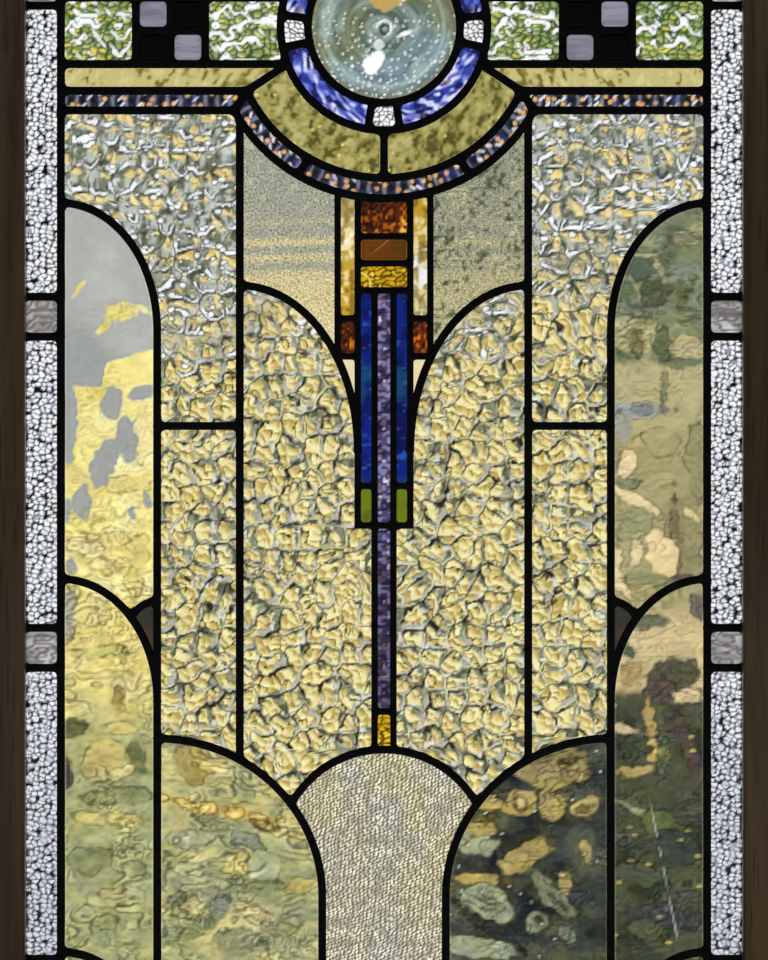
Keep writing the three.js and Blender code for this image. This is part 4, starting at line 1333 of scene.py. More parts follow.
def cobalt(x, z, inset):
    """Dark and bright blue patches under short white-lilac dashes that lean along the ring."""
    tone = clouds(x, z, 9, 91)
    lean = z - 0.45 * x + 0.8 * drift(x, z, 6, 92)
    dash = drift(x * 0.35 + z * 0.3, lean, 2.5, 93)
    dark = drift(x * 0.35 + z * 0.3 + 40, lean, 2.5, 94)
    colour = layered(
        (44, 58, 150),
        ((18, 24, 78), ease(0.0, 0.5, tone)),
        ((84, 104, 204), ease(0.0, -0.6, tone)),
        ((20, 22, 62), ease(0.1, 0.5, dark) * 0.85),
        ((122, 134, 220), ease(0.0, 0.3, dash) * 0.8),
        ((218, 218, 248), ease(0.35, 0.65, dash)),
        ((110, 84, 96), ease(0.5, 0.8, drift(x, z, 4, 96)) * 0.7),
    )
    return 0.35 * dash, colour


def crackled(x, z, inset):
    """Near-white, with a coarse net of dark cracks."""
    edge, _, _, draw = cells(x, z, 3.6, 95)
    colour = paint((270, 270, 272), (206, 206, 214), draw * 0.6)
    crack = ease(0.75, 0.2, edge - 0.6 * (draw - 0.5))
    return 0.4 * ease(0, 1, edge), paint(colour, (30, 32, 38), crack)


def spun(x, z, inset):
    """Pale grey-green in uneven rings, bluer low down and browner at the edge, full of seeds.

    Lights stand round the pontil mark: a curl, a bright spot below it, a stroke to its right and
    an amber patch above.
    """
    to_x, to_z = x, z - EYE_Z
    out = np.hypot(to_x, to_z)
    turn = np.arctan2(to_z, to_x)
    off = out + 3 * np.cos(turn - 0.6) * ease(40, 10, out)
    swirl = off + 2.2 * drift(to_x, to_z, 22, 101)
    rings = drift(swirl, 0.3 * to_x, 3.2, 106) * 0.8 + np.sin(swirl / 3.1) * 0.4
    mottle = drift(swirl, 0.4 * to_z, 2.2, 110)
    colour = layered(
        (122, 139, 130),
        ((164, 184, 170), ease(0.0, 0.8, rings + 0.4 * mottle)),
        ((72, 88, 82), ease(0.0, -0.9, rings + 0.4 * mottle) * 0.85),
        ((112, 134, 152), ease(0.1, 0.7, drift(x, z, 24, 102) - to_z / 60) * 0.6),
        ((100, 104, 66), ease(0.0, 0.6, drift(x, z, 22, 104) + to_z / 50) * 0.65),
        ((176, 196, 184), band(out, ROUNDEL_R - 12, 3) * 0.6),
        ((122, 118, 78), ease(ROUNDEL_R - 9, ROUNDEL_R - 4, out) * 0.6),
        ((190, 158, 92), blob(x, z, (2, EYE_Z + 20), (13, 8), 0, 107)[0]),
    )
    for size, seed, rare in ((7, 103, 0.55), (4.5, 111, 0.72)):
        _, seed_x, seed_z, draw = cells(x + 0.2 * to_z, z, size, seed)
        dot = np.hypot(seed_x, seed_z) + 0.5 * drift(x, z, 2, 112)
        seeds = ease(1.2, 0.3, dot) * ease(rare, rare + 0.04, draw - 0.01 * to_z)
        colour = paint(colour, (240, 248, 244), seeds)
    curl = band(np.hypot(to_x, to_z + 1), 5.5, 1.6) * ease(-0.9, -0.4, np.sin(turn + 0.6))
    colour = layered(
        colour,
        ((40, 48, 42), band(np.hypot(to_x - 1, to_z + 2), 3.4, 2.2)),
        ((250, 252, 252), curl),
        ((236, 240, 244), blob(x, z, (-4, EYE_Z - 13), (4, 4), 20, 109)[0] * 0.8),
        ((255, 255, 255), blob(x, z, (-8, EYE_Z - 26), (9, 8), 20, 105)[0]),
        ((250, 252, 255), blob(x, z, (16, EYE_Z - 5), (7, 1.6), 22, 108)[0]),
    )
    return 0.5 * ease(ROUNDEL_R, 0, out) + 0.12 * rings, colour


ring_middle = (ROUNDEL_R + RING_R) / 2
for count, middle in enumerate(JEWELS):
    nearer, further = middle - JEWEL_HALF, middle + JEWEL_HALF
    onward = JEWELS[(count + 1) % 4] + (360 if count == 3 else 0) - JEWEL_HALF
    for name, look, sheet, *ends in (
        ("crackled", crackled, CRACKLED, further, nearer),
        ("cobalt", cobalt, COBALT, onward, further),
    ):
        grid = round_grid(sheet, ROUNDEL_R, RING_R, *ends)
        add_pane(f"{name}_{count}", grid, about_eye(look, ring_middle), sheet, "ring")
across = np.linspace(-1, 1, fours(2 * ROUNDEL_R / SPUN.pitch) + 1)
u, v = np.meshgrid(across, across)
disc_x = (ROUNDEL_R - KERF) * u * np.sqrt(1 - v**2 / 2)
disc_z = EYE_Z + (ROUNDEL_R - KERF) * v * np.sqrt(1 - u**2 / 2)
add_pane("spun_roundel", (disc_x, disc_z), spun, SPUN, "roundel")

# ---- The column --------------------------------------------------------------------------------
# Small cut pieces in deep colours: three warm blocks over a purple spine, which runs down to a
# golden tip, with blue and lime beside it and an amber strip, a rust piece and a small clear
# triangle outside them.
RUST = glass("rust_glass", "rust_glass", 1.0, ripple=300, fleck=0.4)
AMBER = glass("amber_glass", "amber_glass", 1.0, ripple=260, fleck=0.25)
BLUE = glass("blue_glass", "blue_glass", 1.0, ripple=220, fleck=0.3, relief=0.12)
LIME = glass("lime_glass", "lime_glass", 1.0, ripple=160, fleck=0.12, relief=0.08)
PURPLE = glass("purple_glass", "purple_glass", 1.0, ripple=260, fleck=0.25, relief=0.12)


def rust(x, z, inset):
    """Red-brown with grains of orange, which gather and turn yellow low on the right."""
    grains = drift(x, z * 0.8, 1.9, 111) * 0.7 + drift(x, z, 5, 112) * 0.4
    low, high = z.min(), z.max()
    side = (x - x.min()) / (x.max() - x.min()) - (z - low) / (high - low)
    colour = layered(
        (76, 32, 0),
        ((34, 12, 2), ease(0.0, -0.6, grains + 0.35 * side)),
        ((164, 84, 0), ease(0.1, 0.5, grains + 0.35 * side)),
        ((236, 190, 80), ease(0.66, 0.85, grains + 0.25 * side)),
    )
    return 0.2 * grains, colour * (1.25 if x.mean() > SHAFT_X else 1)


def brown(x, z, inset):
    """Smooth brown amber with a lit edge and a scratch that leans."""
    scratch = band(z - z.mean() - 0.8 * (x + 2), 3, 0.9) * ease(9, 5, np.abs(x + 2))
    colour = layered(
        (98, 54, 0),
        ((84, 52, 0), ease(0, 12, x)),
        ((176, 118, 40), band(inset, 1.2, 1.3) * 0.8),
        ((150, 104, 44), scratch),
    )
    return 0.05 * drift(x, z, 8, 115), colour


def golden(x, z, inset):
    """Golden lumps parted by dark olive creases."""
    bend_x, bend_z = x * 0.7 + 2 * drift(x, z, 5, 121), z * 1.3 + 2 * drift(x, z, 5, 123)
    edge, _, _, draw = cells(bend_x, bend_z, 5, 122)
    colour = layered(
        (206, 158, 8),
        ((246, 218, 90), ease(0.5, 0.9, draw)),
        ((164, 130, 8), ease(0.2, 0.6, drift(x, z, 3, 124))),
        ((88, 66, 4), ease(1.1, 0.4, edge - 0.7 * (draw - 0.4))),
        ((240, 216, 90), band(np.hypot(x + 19, z - z.mean() + 6), 9, 1.2)),
    )
    return 0.4 * ease(0, 2, edge), colour


def amber(x, z, inset):
    """Gold at one end and clear at the other, with white lights along the clear part."""
    clear = ease(700, 760, z) if x.mean() < 0 else ease(750, 726, z)
    tone = drift(x, z * 0.6, 4, 131) + 0.4 * drift(x, z, 2, 132)
    colour = layered(
        (200, 156, 40),
        ((168, 152, 98), clear),
        ((122, 96, 34), ease(0.1, 0.7, tone) * (0.8 - 0.2 * clear)),
        ((238, 222, 156), ease(-0.2, -0.7, tone)),
        ((252, 252, 250), ease(0.4, 0.65, drift(x, z * 0.7, 4, 133)) * clear),
    )
    return 0.3 * tone, colour * (0.93 if x.mean() > 0 else 1)


def blue(x, z, inset):
    """Deep blue, with teal patches."""
    tone = clouds(x, z * 0.6, 9, 141)
    teal = band(z, 632, 30) + ease(566, 556, z) + 0.5 * ease(690, 705, z)
    teal = teal + 0.5 * drift(x, z, 6, 143)
    colour = layered(
        (10, 34, 116),
        ((6, 14, 70), ease(-0.1, 0.5, tone)),
        ((22, 74, 100), ease(0.3, 1.1, teal) * 0.8),
        ((52, 92, 176), ease(0.5, 0.9, drift(x, z * 2, 5, 144)) * 0.7),
    )
    return 0.2 * tone, colour


def lime(x, z, inset):
    """Lime-olive, a little darker to one side."""
    tone = clouds(x, z, 9, 151)
    return 0.1 * tone, paint((104, 117, 24), (78, 92, 18), ease(-0.1, 0.7, tone))


def purple(x, z, inset):
    """Ribbed across, lilac and violet with pink lights, and deeper blue towards the bottom."""
    low = ease(560, 420, z)
    rib = drift(x * 0.6, z + 0.8 * drift(x, z, 4, 161), 2.2, 162)
    tone = drift(x * 0.5, z, 6, 163)
    colour = layered(
        (72, 66, 104),
        ((38, 34, 74), ease(-0.1, 0.5, tone)),
        ((116, 88, 92), ease(0.0, 0.7, drift(x, z, 3.4, 165)) * 0.8),
        ((56, 46, 58), low * 0.8),
        ((126, 120, 164), ease(0.2, 0.6, rib) * (1 - 0.5 * low)),
        ((26, 22, 52), ease(-0.2, -0.6, rib) * 0.75),
        # White painted highlights, fewer low down.
        ((226, 226, 250), ease(0.6, 0.8, drift(x, z, 3, 164)) * (1 - 0.6 * low)),
    )
    return 0.25 * rib, colour


def pale_corner(x, z, inset):
    """Cream all over."""
    return 0.1 * drift(x, z, 4, 171), plain(x, 228, 212, 164)


blocks = (lead_lines("column_blocks")[3], *BLOCK_LINES, BLOCK_LOW)
strip_high = lead_lines("column_amber_right")[3]
wedge_low = meeting(lambda z: arch_x(SHOULDER, z) - SHAFT_X - 2.2 * KERF, SHOULDER[1] - 120, 651)
wedge = SHAFT_X + KERF, short_of(SHOULDER, COLUMN_X), wedge_low, RUST_LINES[1] - KERF


def add_column(solid, left, right, *parts):
    """Pieces one over another, each a name, a look, a sheet, its low line and its high one."""
    for name, look, sheet, low, high in parts:
        add = add_pane if left < 0 else add_pair
        add(name, box_grid(sheet, left, right, low, high), look, sheet, solid)


add_column(
    "column_blocks", -SHAFT_X, SHAFT_X,
    ("block_rust", rust, RUST, blocks[1], blocks[0]),
    ("block_brown", brown, AMBER, blocks[2], blocks[1]),
    ("block_golden", golden, AMBER, blocks[3], blocks[2]),
)
add_column(
    "column_amber_{}", SHAFT_X, COLUMN_X,
    ("amber_strip", amber, AMBER, RUST_LINES[0], strip_high),
    ("amber_rust", rust, RUST, RUST_LINES[1], RUST_LINES[0]),
)
add_pair("amber_wedge", ruled(AMBER, *wedge), pale_corner, AMBER, "column_amber_{}")
add_column(
    "column_blue_{}", SPINE_X, SHAFT_X,
    ("shaft_blue", blue, BLUE, LIME_Z, BLOCK_LOW), ("shaft_lime", lime, LIME, FOOT_Z, LIME_Z),
)
add_column(
    "column_spine", -SPINE_X, SPINE_X,
    ("spine_upper", purple, PURPLE, FOOT_Z, BLOCK_LOW),
    ("spine_lower", purple, PURPLE, TIP_Z, FOOT_Z),
    ("spine_tip", golden, AMBER, spine_low[1] + 1.5, TIP_Z),
)

# ---- The side arches ---------------------------------------------------------------------------
# Clear hand-rolled glass with long soft waves. What lies beyond is drawn out in it into broad
# patches: on the left grey sky over yellow, on the right green-grey over khaki and cream.
ROLLED = glass("rolled_glass", "wavy_clear_glass", 1.4, ripple=60, fleck=0.08, relief=0.12)
CHARCOAL = glass("charcoal_glass", "charcoal_glass", 1.5, ripple=90, relief=0.1)


def rolled(x, z, seed):
    """Relief of hand-rolled glass: long level waves, shorter ones across, and a fine tremble."""
    bend = 6 * drift(x, z, 40, seed)
    long_waves = 0.4 * drift(x + bend, 1.5 * z, 34, seed + 1)
    return long_waves + 0.2 * drift(x, z + bend, 15, seed + 2) + 0.06 * drift(x, z, 5, seed + 3)


def stirred(x, z, seed, strength=1.0):
    """Places pushed about by three sizes of drift, so that outlines drawn there waver."""
    pushes = []
    for count, (size, far) in enumerate([(16, 3.0), (6, 1.5), (2.7, 0.7)] * 2):
        pushes.append(far * drift(0.8 * x, 1.2 * z, size, seed + count))
    return x + strength * sum(pushes[:3]), z + 0.8 * strength * sum(pushes[3:])


def drawn_out(colour, x, z, seed, size, strength, lit=0.8):
    """The colours mottled, with two nets of thin dark lines beside lit ones, drawn out level."""
    light = 0.6 * drift(0.7 * x, 1.3 * z, 7, seed) + 0.6 * drift(0.8 * x, 1.2 * z, 3.2, seed + 1)
    colour = colour * (1 + 0.16 * strength * light)[..., None]
    colour = colour + (strength * drift(0.6 * x, 1.3 * z, 9, seed + 2))[..., None] * (5, 3, -7)
    bend_x, bend_z = stirred(x, z, seed + 10, 1.0)
    for scale, step, wide in ((1.0, 0.30, 1.5), (0.42, 0.42, 1.2)):
        field = clouds(0.7 * bend_x, 1.3 * bend_z, scale * size, seed + 20)
        shown = ease(-0.35, 0.5, drift(x, z, 0.8 * size, seed + int(30 * scale))) * strength
        # Thin lines of painted shade, each beside a painted highlight.
        dark = threads(field, step, wide, x, z) * shown
        beside = threads(field + 0.06, step, 1.3 * wide, x, z) * shown
        colour = paint(colour, colour * 1.12 + 12, beside * lit)
        colour = paint(colour, colour * 0.66, dark * 0.9)
    return colour


GREY, STONE, SUN, STRAW, CREAM = (
    (170, 172, 166), (150, 153, 150), (240, 224, 138), (220, 203, 124), (238, 222, 154),
)
SAGE, FERN, PINE, TAN, RUSSET, PLUM, ROSE = (
    (162, 164, 112), (134, 138, 94), (84, 92, 70), (186, 172, 108), (158, 140, 74), (78, 68, 64),
    (228, 206, 154),
)


def arch_left(x, z, inset):
    """Grey above, yellow below a crisp wandering line, with grey tongues, and sage at the foot."""
    at_x, at_z = stirred(x, z, 205, 0.7)
    grey = paint(GREY, (182, 184, 176), ease(0, 0.6, clouds(x, z, 26, 213)))
    grey = paint(grey, STONE, ease(700, 670, z + 0.8 * x + 190 + 6 * drift(x, z, 14, 214)) * 0.8)
    tone = clouds(x + 3 * drift(x, z, 14, 211), z, 24, 215)
    yellow = paint(SUN, (224, 206, 116), ease(0.1, 0.5, tone))
    yellow = paint(yellow, (246, 234, 166), ease(-0.1, -0.5, tone))
    yellow = patched(
        yellow, at_x, at_z, 230,
        (STRAW, (-205, 512), (24, 6), 8), (STRAW, (-188, 500), (10, 12), 0),
        (CREAM, (-222, 508), (13, 5), -10), (TAN, (-210, 494), (12, 7), -15),
        (CREAM, (-212, 495), (7, 4), -15), (STRAW, (-193, 555), (15, 6), 5),
        (CREAM, (-180, 590), (7, 14), 0), (STRAW, (-188, 482), (6, 10), 30),
    )
    sky_line = 630 + ease(-212, -208, at_x) * (17 + 0.27 * (at_x + 210))
    sky = ease(-0.8, 0.8, at_z - sky_line)
    for tongue in (
        ((-236, 603), (8, 31), 0), ((-203, 615), (8, 12), 0), ((-193, 591), (7, 17), 12),
        ((-182, 623), (10, 6), 12), ((-207, 577), (9, 13), -30), ((-211, 567), (7, 17), -22),
        ((-225, 541), (8, 15), 0), ((-238, 535), (4, 11), 0), ((-234, 495), (5, 6), 20),
        ((-190, 535), (2.5, 6), 0), ((-178, 543), (3, 6), 20),
    ):
        sky = np.maximum(sky, blob(at_x, at_z, *tongue, 217)[0])
    for gleam in (
        ((-229, 702), (7, 2), 50), ((-196, 684), (12, 7), 5), ((-208, 675), (8, 2.6), 55),
        ((-180, 687), (7, 2), -35),
    ):
        sky = sky * (1 - blob(at_x, at_z, *gleam, 219)[0])
    foot = ease(420, 340, z + 14 * tone)
    colour = layered(yellow, (grey, sky), ((212, 194, 118), ease(490, 450, z) * 0.7), (SAGE, foot))
    colour = patched(
        colour, at_x, at_z, 250,
        ((158, 155, 129), (-236, 460), (5, 18), 0), ((206, 198, 110), (-214, 430), (20, 3.5), 6),
        (RUSSET, (-199, 395), (4, 8), 0), ((92, 96, 66), (-232, 374), (9, 7), 20),
        ((218, 196, 118), (-200, 373), (11, 4), 0), (PLUM, (-238, 343), (5, 10), 0),
        ((106, 112, 72), (-184, 352), (6, 13), 20), (TAN, (-208, 347), (17, 16), 0),
        ((224, 208, 130), (-196, 339), (10, 5), 20), (FERN, (-200, 322), (22, 6), 0),
        ((204, 190, 118), (-218, 306), (14, 4), -6), ((200, 184, 108), (-193, 305), (12, 4), -4),
        (FERN, (-222, 275), (14, 10), 10), (FERN, (-190, 268), (8, 5), 0),
        ((176, 176, 122), (-200, 246), (20, 6), 5), (SAGE, (-226, 225), (9, 12), -30),
        (TAN, (-204, 248), (8, 3), 0), ((146, 152, 104), (-205, 222), (14, 9), 0),
    )
    strength = 0.4 + 0.5 * ease(560, 480, z) + 0.2 * foot - 0.3 * sky
    colour = drawn_out(colour, x, z, 240, 22, strength)
    # A pale painted highlight along the pane's edge.
    return rolled(x, z, 201), paint(colour, (244, 240, 206), band(inset, 1.6, 1.8) * 0.6)


def arch_right(x, z, inset):
    """Green-grey mottles with pale loops, khaki and cream below, and dark green at the foot."""
    at_x, at_z = stirred(x, z, 305)
    tone = clouds(x + 4 * drift(x, z, 12, 311), z, 18, 313)
    dark = ease(402, 390, z + 8 * tone)
    colour = layered(
        (122, 128, 100),
        ((92, 104, 80), ease(0.0, 0.4, tone)),
        ((150, 150, 112), ease(-0.1, -0.5, tone)),
        ((178, 168, 124), ease(652, 646, at_z)),
        ((160, 152, 106), ease(604, 580, z + 14 * tone) * 0.8),
        ((204, 184, 134), ease(474, 448, z)),
        ((74, 78, 58), dark),
        ((48, 54, 42), dark * ease(0.0, 0.5, tone)),
    )
    colour = patched(
        colour, at_x, at_z, 330,
        ((168, 160, 124), (226, 740), (12, 4.5), 0), ((120, 124, 100), (226, 740), (9, 2.5), 0),
        ((84, 98, 84), (188, 718), (11, 12), 0), ((119, 131, 114), (225, 715), (10, 7), 0),
        ((166, 162, 126), (195, 728), (9, 2), -8), ((164, 158, 120), (206, 716), (2.5, 11), 15),
        (PINE, (203, 699), (11, 10), 0), ((156, 152, 118), (188, 700), (2, 12), 15),
        ((96, 98, 68), (222, 694), (3, 9), 0), ((166, 160, 114), (186, 668), (14, 11), 0),
        ((116, 112, 72), (190, 660), (3, 8), 0), ((92, 100, 72), (208, 662), (8, 12), 0),
        ((178, 168, 126), (227, 659), (14, 8), 0), ((110, 120, 92), (227, 647), (14, 3.5), 0),
        ((124, 124, 92), (210.5, 629), (2.6, 14), 0), ((164, 170, 172), (193, 610), (18, 5), 4),
        ((122, 128, 124), (193, 610), (10, 2.4), 4), ((156, 157, 143), (178, 596), (6, 10), 0),
        ((166, 159, 110), (207, 588), (12, 10), 0), ((145, 142, 99), (235, 572), (8, 24), 0),
        (ROSE, (181, 571), (7, 10), 20), ((118, 122, 90), (183, 557), (9, 4), 0),
        ((144, 136, 97), (226, 514), (15, 28), 0), ((120, 108, 76), (218, 512), (3, 26), 4),
        (ROSE, (190, 541), (19, 6), -35), ((148, 148, 104), (185, 525), (13, 10), 0),
        (ROSE, (208, 502), (9, 21), 6), (ROSE, (189, 503), (3.5, 9), 0),
        (ROSE, (231, 534), (8, 3), -30), (ROSE, (176, 500), (3, 9), 0),
        (ROSE, (178, 482), (4, 14), 25), ((140, 140, 98), (195, 484), (13, 5), -5),
        ((98, 84, 82), (224, 484), (9, 4), 10), ((100, 92, 84), (236, 463), (6, 10), 20),
        ((104, 106, 82), (198, 452), (12, 4.5), 8), (PINE, (184, 432), (7, 4), -40),
        ((80, 80, 60), (217, 414), (19, 11), 5), (PLUM, (207, 404), (9, 10), 10),
        ((172, 150, 98), (185, 415), (9, 10), 0), ((206, 184, 136), (228, 397), (12, 5), 0),
        ((176, 152, 90), (201, 372), (4, 20), 4), ((210, 188, 150), (182, 372), (10, 4), -14),
        ((196, 166, 100), (206, 350), (7, 6), 20), ((186, 164, 100), (190, 339), (14, 3.2), 5),
        (PLUM, (222, 368), (6, 18), 20), (PLUM, (234, 344), (5, 16), 10),
        ((60, 66, 50), (190, 356), (10, 9), 0), ((92, 102, 60), (208, 350), (3, 14), 0),
        ((146, 148, 112), (186, 312), (14, 2.4), -25), ((92, 102, 60), (205, 304), (14, 7), -15),
        ((62, 68, 56), (215, 280), (22, 12), 0), ((74, 80, 60), (190, 262), (14, 8), 0),
        ((64, 66, 62), (208, 230), (24, 10), 0), ((80, 86, 60), (195, 222), (13, 6), 0),
    )
    _, to_x, to_z, draw = cells(x, z, 14, 316)
    fleck = ease(2.2, 1.2, np.hypot(0.7 * to_x, 1.3 * to_z)) * ease(0.7, 0.75, draw)
    colour = paint(colour, (168, 150, 86), fleck * dark)
    strength = 0.5 + 0.3 * ease(648, 654, z) + 0.4 * ease(420, 380, z)
    colour = drawn_out(colour, x, z, 340, 20, strength)
    scratch = band(x - 215 + 0.2 * (z - 240), 0, 0.9) * ease(200, 215, z) * ease(330, 300, z)
    colour = paint(colour, (190, 194, 186), scratch * ease(-0.2, 0.2, drift(x, z, 7, 317)))
    # A pale painted highlight along the pane's edge.
    return rolled(x, z, 301), paint(colour, (220, 222, 196), band(inset, 1.6, 1.8) * 0.45)


def charcoal(x, z, inset):
    """Near-black brown, with a faint lighter spot high up."""
    colour = paint((54, 50, 46), (78, 62, 48), ease(0, 0.8, drift(x, z, 12, 402)))
    return 0.1 * drift(x, z, 6, 401), colour


for place, arch, below, key_tip in zip(("high", "middle"), TIERS, TIERS[1:], KEY_TIPS[1:]):
    grid = ruled(
        ROLLED,
        lambda z: np.maximum(arch_x(arch, z, -KERF), key_x(below, z, KERF) * (z < below[1])),
        lambda z: np.where(z < below[1], arch_x(below, z, KERF), BORDER_X - KERF),
        key_tip + 2 * KERF,
        arch[1] - KERF,
    )
    add_pair(f"rolled_arch_{place}", grid, arch_right, ROLLED, f"arch_{place}_{{}}", arch_left)


def under_arch(arch, limit):
    """A grid under an arch, as far as a plumb lead and down to the border."""
    lines = lambda z: arch_x(arch, z, -KERF), limit - KERF, BORDER_LOW + KERF, arch[1] - KERF
    return ruled(ROLLED, *lines)


low_arch = under_arch(TIERS[2], BORDER_X)
add_pair("rolled_arch_low", low_arch, arch_right, ROLLED, "arch_low_{}", arch_left)
for place, arch, solid in (("upper", TIERS[1], "arch_key_{}"), ("lower", TIERS[2], "arch_low_{}")):
    over = lambda z: np.minimum(key_x(arch, z, -KERF), arch_x(arch, z, KERF))
    foot, top = arch[1] - arch[3] + KEY_FOOT, arch[1] - KEY_DROP + KEY_R - KERF
    key = ruled(CHARCOAL, ARCH_X + KERF, over, foot, top)
    add_pair(f"charcoal_key_{place}", key, charcoal, CHARCOAL, solid)

# ---- The stem and the waves --------------------------------------------------------------------
# The stem under the dome is clear glass with close rows of small beads. Beside it two more panes
# of rolled glass stand under the arches at the foot.
PINHEAD = glass("pinhead_glass", "pinhead_clear_glass", 2.0, ripple=400, relief=0.08)

# The beads: cells of an uneven lattice that leans, with a white painted highlight at the middle and
# painted shade to one side.
beads, beads_in, beads_out = shader_group(
    "beads", [("Tint", "NodeSocketColor", (1, 1, 1, 1))], [("Color", "NodeSocketColor")]
)
bead_place = object_place(beads)
rows = [vectors(beads, bead_place, "DOT_PRODUCT", way) for way in ((345, 0, -20), (-160, 0, 405))]
row_ends = {"X": rows[0].outputs["Value"], "Y": rows[1].outputs["Value"]}
lattice = node(beads, "ShaderNodeCombineXYZ", row_ends)
sweep = vectors(beads, noise(beads, bead_place, 18.0, Detail=1.0).outputs["Color"], "SCALE", 4.0)
curved = vectors(beads, lattice, "ADD", sweep)


def bead_spots(shift, low, high, strength):
    """A round spot in each cell, shifted from its middle."""
    links = {"Vector": vectors(beads, curved, "ADD", shift), "Scale": 1.0, "Randomness": 0.55}
    cell = node(beads, "ShaderNodeTexVoronoi", links, voronoi_dimensions="2D")
    return eased(beads, cell, low, high, To_Max=strength)


gathering = noise(beads, bead_place, 130.0, Detail=2.0)
links = {"Value": gathering, "From Min": 0.40, "From Max": 0.62, "To Min": 0.25}
gathered_light = node(beads, "ShaderNodeMapRange", links)
some_light = sums(beads, bead_spots((0, 0, 0), 0.50, 0.24, 2.6), "MULTIPLY", gathered_light)
lit_spot = sums(beads, some_light, "ADD", 1.0)
both_spots = sums(beads, lit_spot, "ADD", bead_spots((-0.45, 0.30, 0), 0.42, 0.15, -0.75))
beaded = vectors(beads, beads_in.outputs["Tint"], "SCALE", both_spots)
feed(beads, beads_out, {"Color": vectors(beads, beaded, "MINIMUM", (1, 1, 1))})
tree = PINHEAD.material.node_tree
bead_part = node(tree, "ShaderNodeGroup", {}, node_tree=beads)
tint_link = next(link for link in tree.links if link.from_node.bl_idname == "ShaderNodeAttribute")
tint, surface_tint = tint_link.from_socket, tint_link.to_socket
tree.links.new(tint, bead_part.inputs["Tint"])
tree.links.new(bead_part.outputs["Color"], surface_tint)


def pinhead(x, z, inset):
    """Grey-beige between the beads, yellower in some places and lilac in others."""
    colour = layered(
        (146, 141, 123),
        ((151, 144, 115), ease(0, 0.7, drift(x, z, 22, 502))),
        ((146, 143, 138), ease(0, 0.8, drift(x, z, 26, 503)) * 0.5),
        ((138, 138, 120), ease(0.2, 0.9, clouds(x, z, 30, 504)) * 0.6),
    )
    return np.zeros(x.shape), colour


def wave_left(x, z, inset):
    """Sage green with cream streaks, and a level line of ochre spots above the middle."""
    at_x, at_z = stirred(x, z, 605, 1.2)
    tone = clouds(x + 5 * drift(x, z, 18, 611), z * 1.6, 26, 613)
    streak = clouds(x * 0.6, z * 2.2, 26, 614)
    ridge = 318 - 0.16 * (x + 160)
    spots = ease(1.2, 0.7, np.hypot(np.mod(at_x + 9, 19) / 9.5 - 1, (at_z - ridge) / 4.2))
    colour = layered(
        (160, 162, 114),
        ((140, 144, 102), ease(0.0, 0.5, tone)),
        ((190, 182, 122), ease(-0.05, -0.4, tone - 0.35 * ease(290, 340, z))),
        ((200, 190, 132), ease(0.15, 0.5, streak) * 0.6),
        ((212, 190, 116), band(at_z - ridge, 0, 5) * ease(-70, -90, x)),
        ((138, 112, 50), spots * ease(-70, -90, x)),
    )
    spots = ease(1.2, 0.7, np.hypot((np.mod(at_x + 9, 19) - 9.5) / 6.5, (at_z - ridge) / 2.6))
    colour = paint(colour, (222, 196, 118), spots * ease(-70, -90, x))
    colour = patched(
        colour, at_x, at_z, 620,
        ((164, 148, 84), (-145, 347), (13, 11), 0), ((218, 200, 126), (-128, 345), (9, 7), 0),
        ((150, 152, 104), (-106, 333), (7, 14), 0), ((172, 172, 122), (-110, 336), (3, 9), 0),
        ((196, 182, 112), (-84, 326), (13, 3.5), -25), ((120, 100, 46), (-92, 301), (9, 4.5), -8),
        ((206, 182, 104), (-92, 301), (6, 2.4), -8), (TAN, (-68, 300), (9, 14), 0),
        ((128, 130, 112), (-104, 287), (13, 5), -25), ((170, 172, 128), (-148, 288), (14, 6), -10),
        ((166, 172, 132), (-92, 268), (13, 12), 0), ((200, 186, 116), (-112, 270), (9, 6), 10),
        (FERN, (-96, 256), (20, 2.6), 0), ((186, 168, 102), (-60, 256), (10, 6), 10),
        ((176, 176, 126), (-140, 262), (22, 5), -30), ((208, 190, 124), (-92, 232), (20, 5), -28),
        ((128, 132, 108), (-125, 236), (10, 9), 40), ((112, 118, 90), (-156, 244), (4, 6), -30),
        ((150, 151, 105), (-75, 225), (14, 8), 0), ((133, 139, 93), (-145, 222), (16, 7), 10),
        ((138, 142, 108), (-112, 215), (16, 6), 0),
    )
    colour = drawn_out(colour, x, z, 640, 22, 1.0)
    # A pale painted highlight along the pane's edge.
    return rolled(x, z, 601), paint(colour, (236, 232, 196), band(inset, 1.6, 1.8) * 0.5)


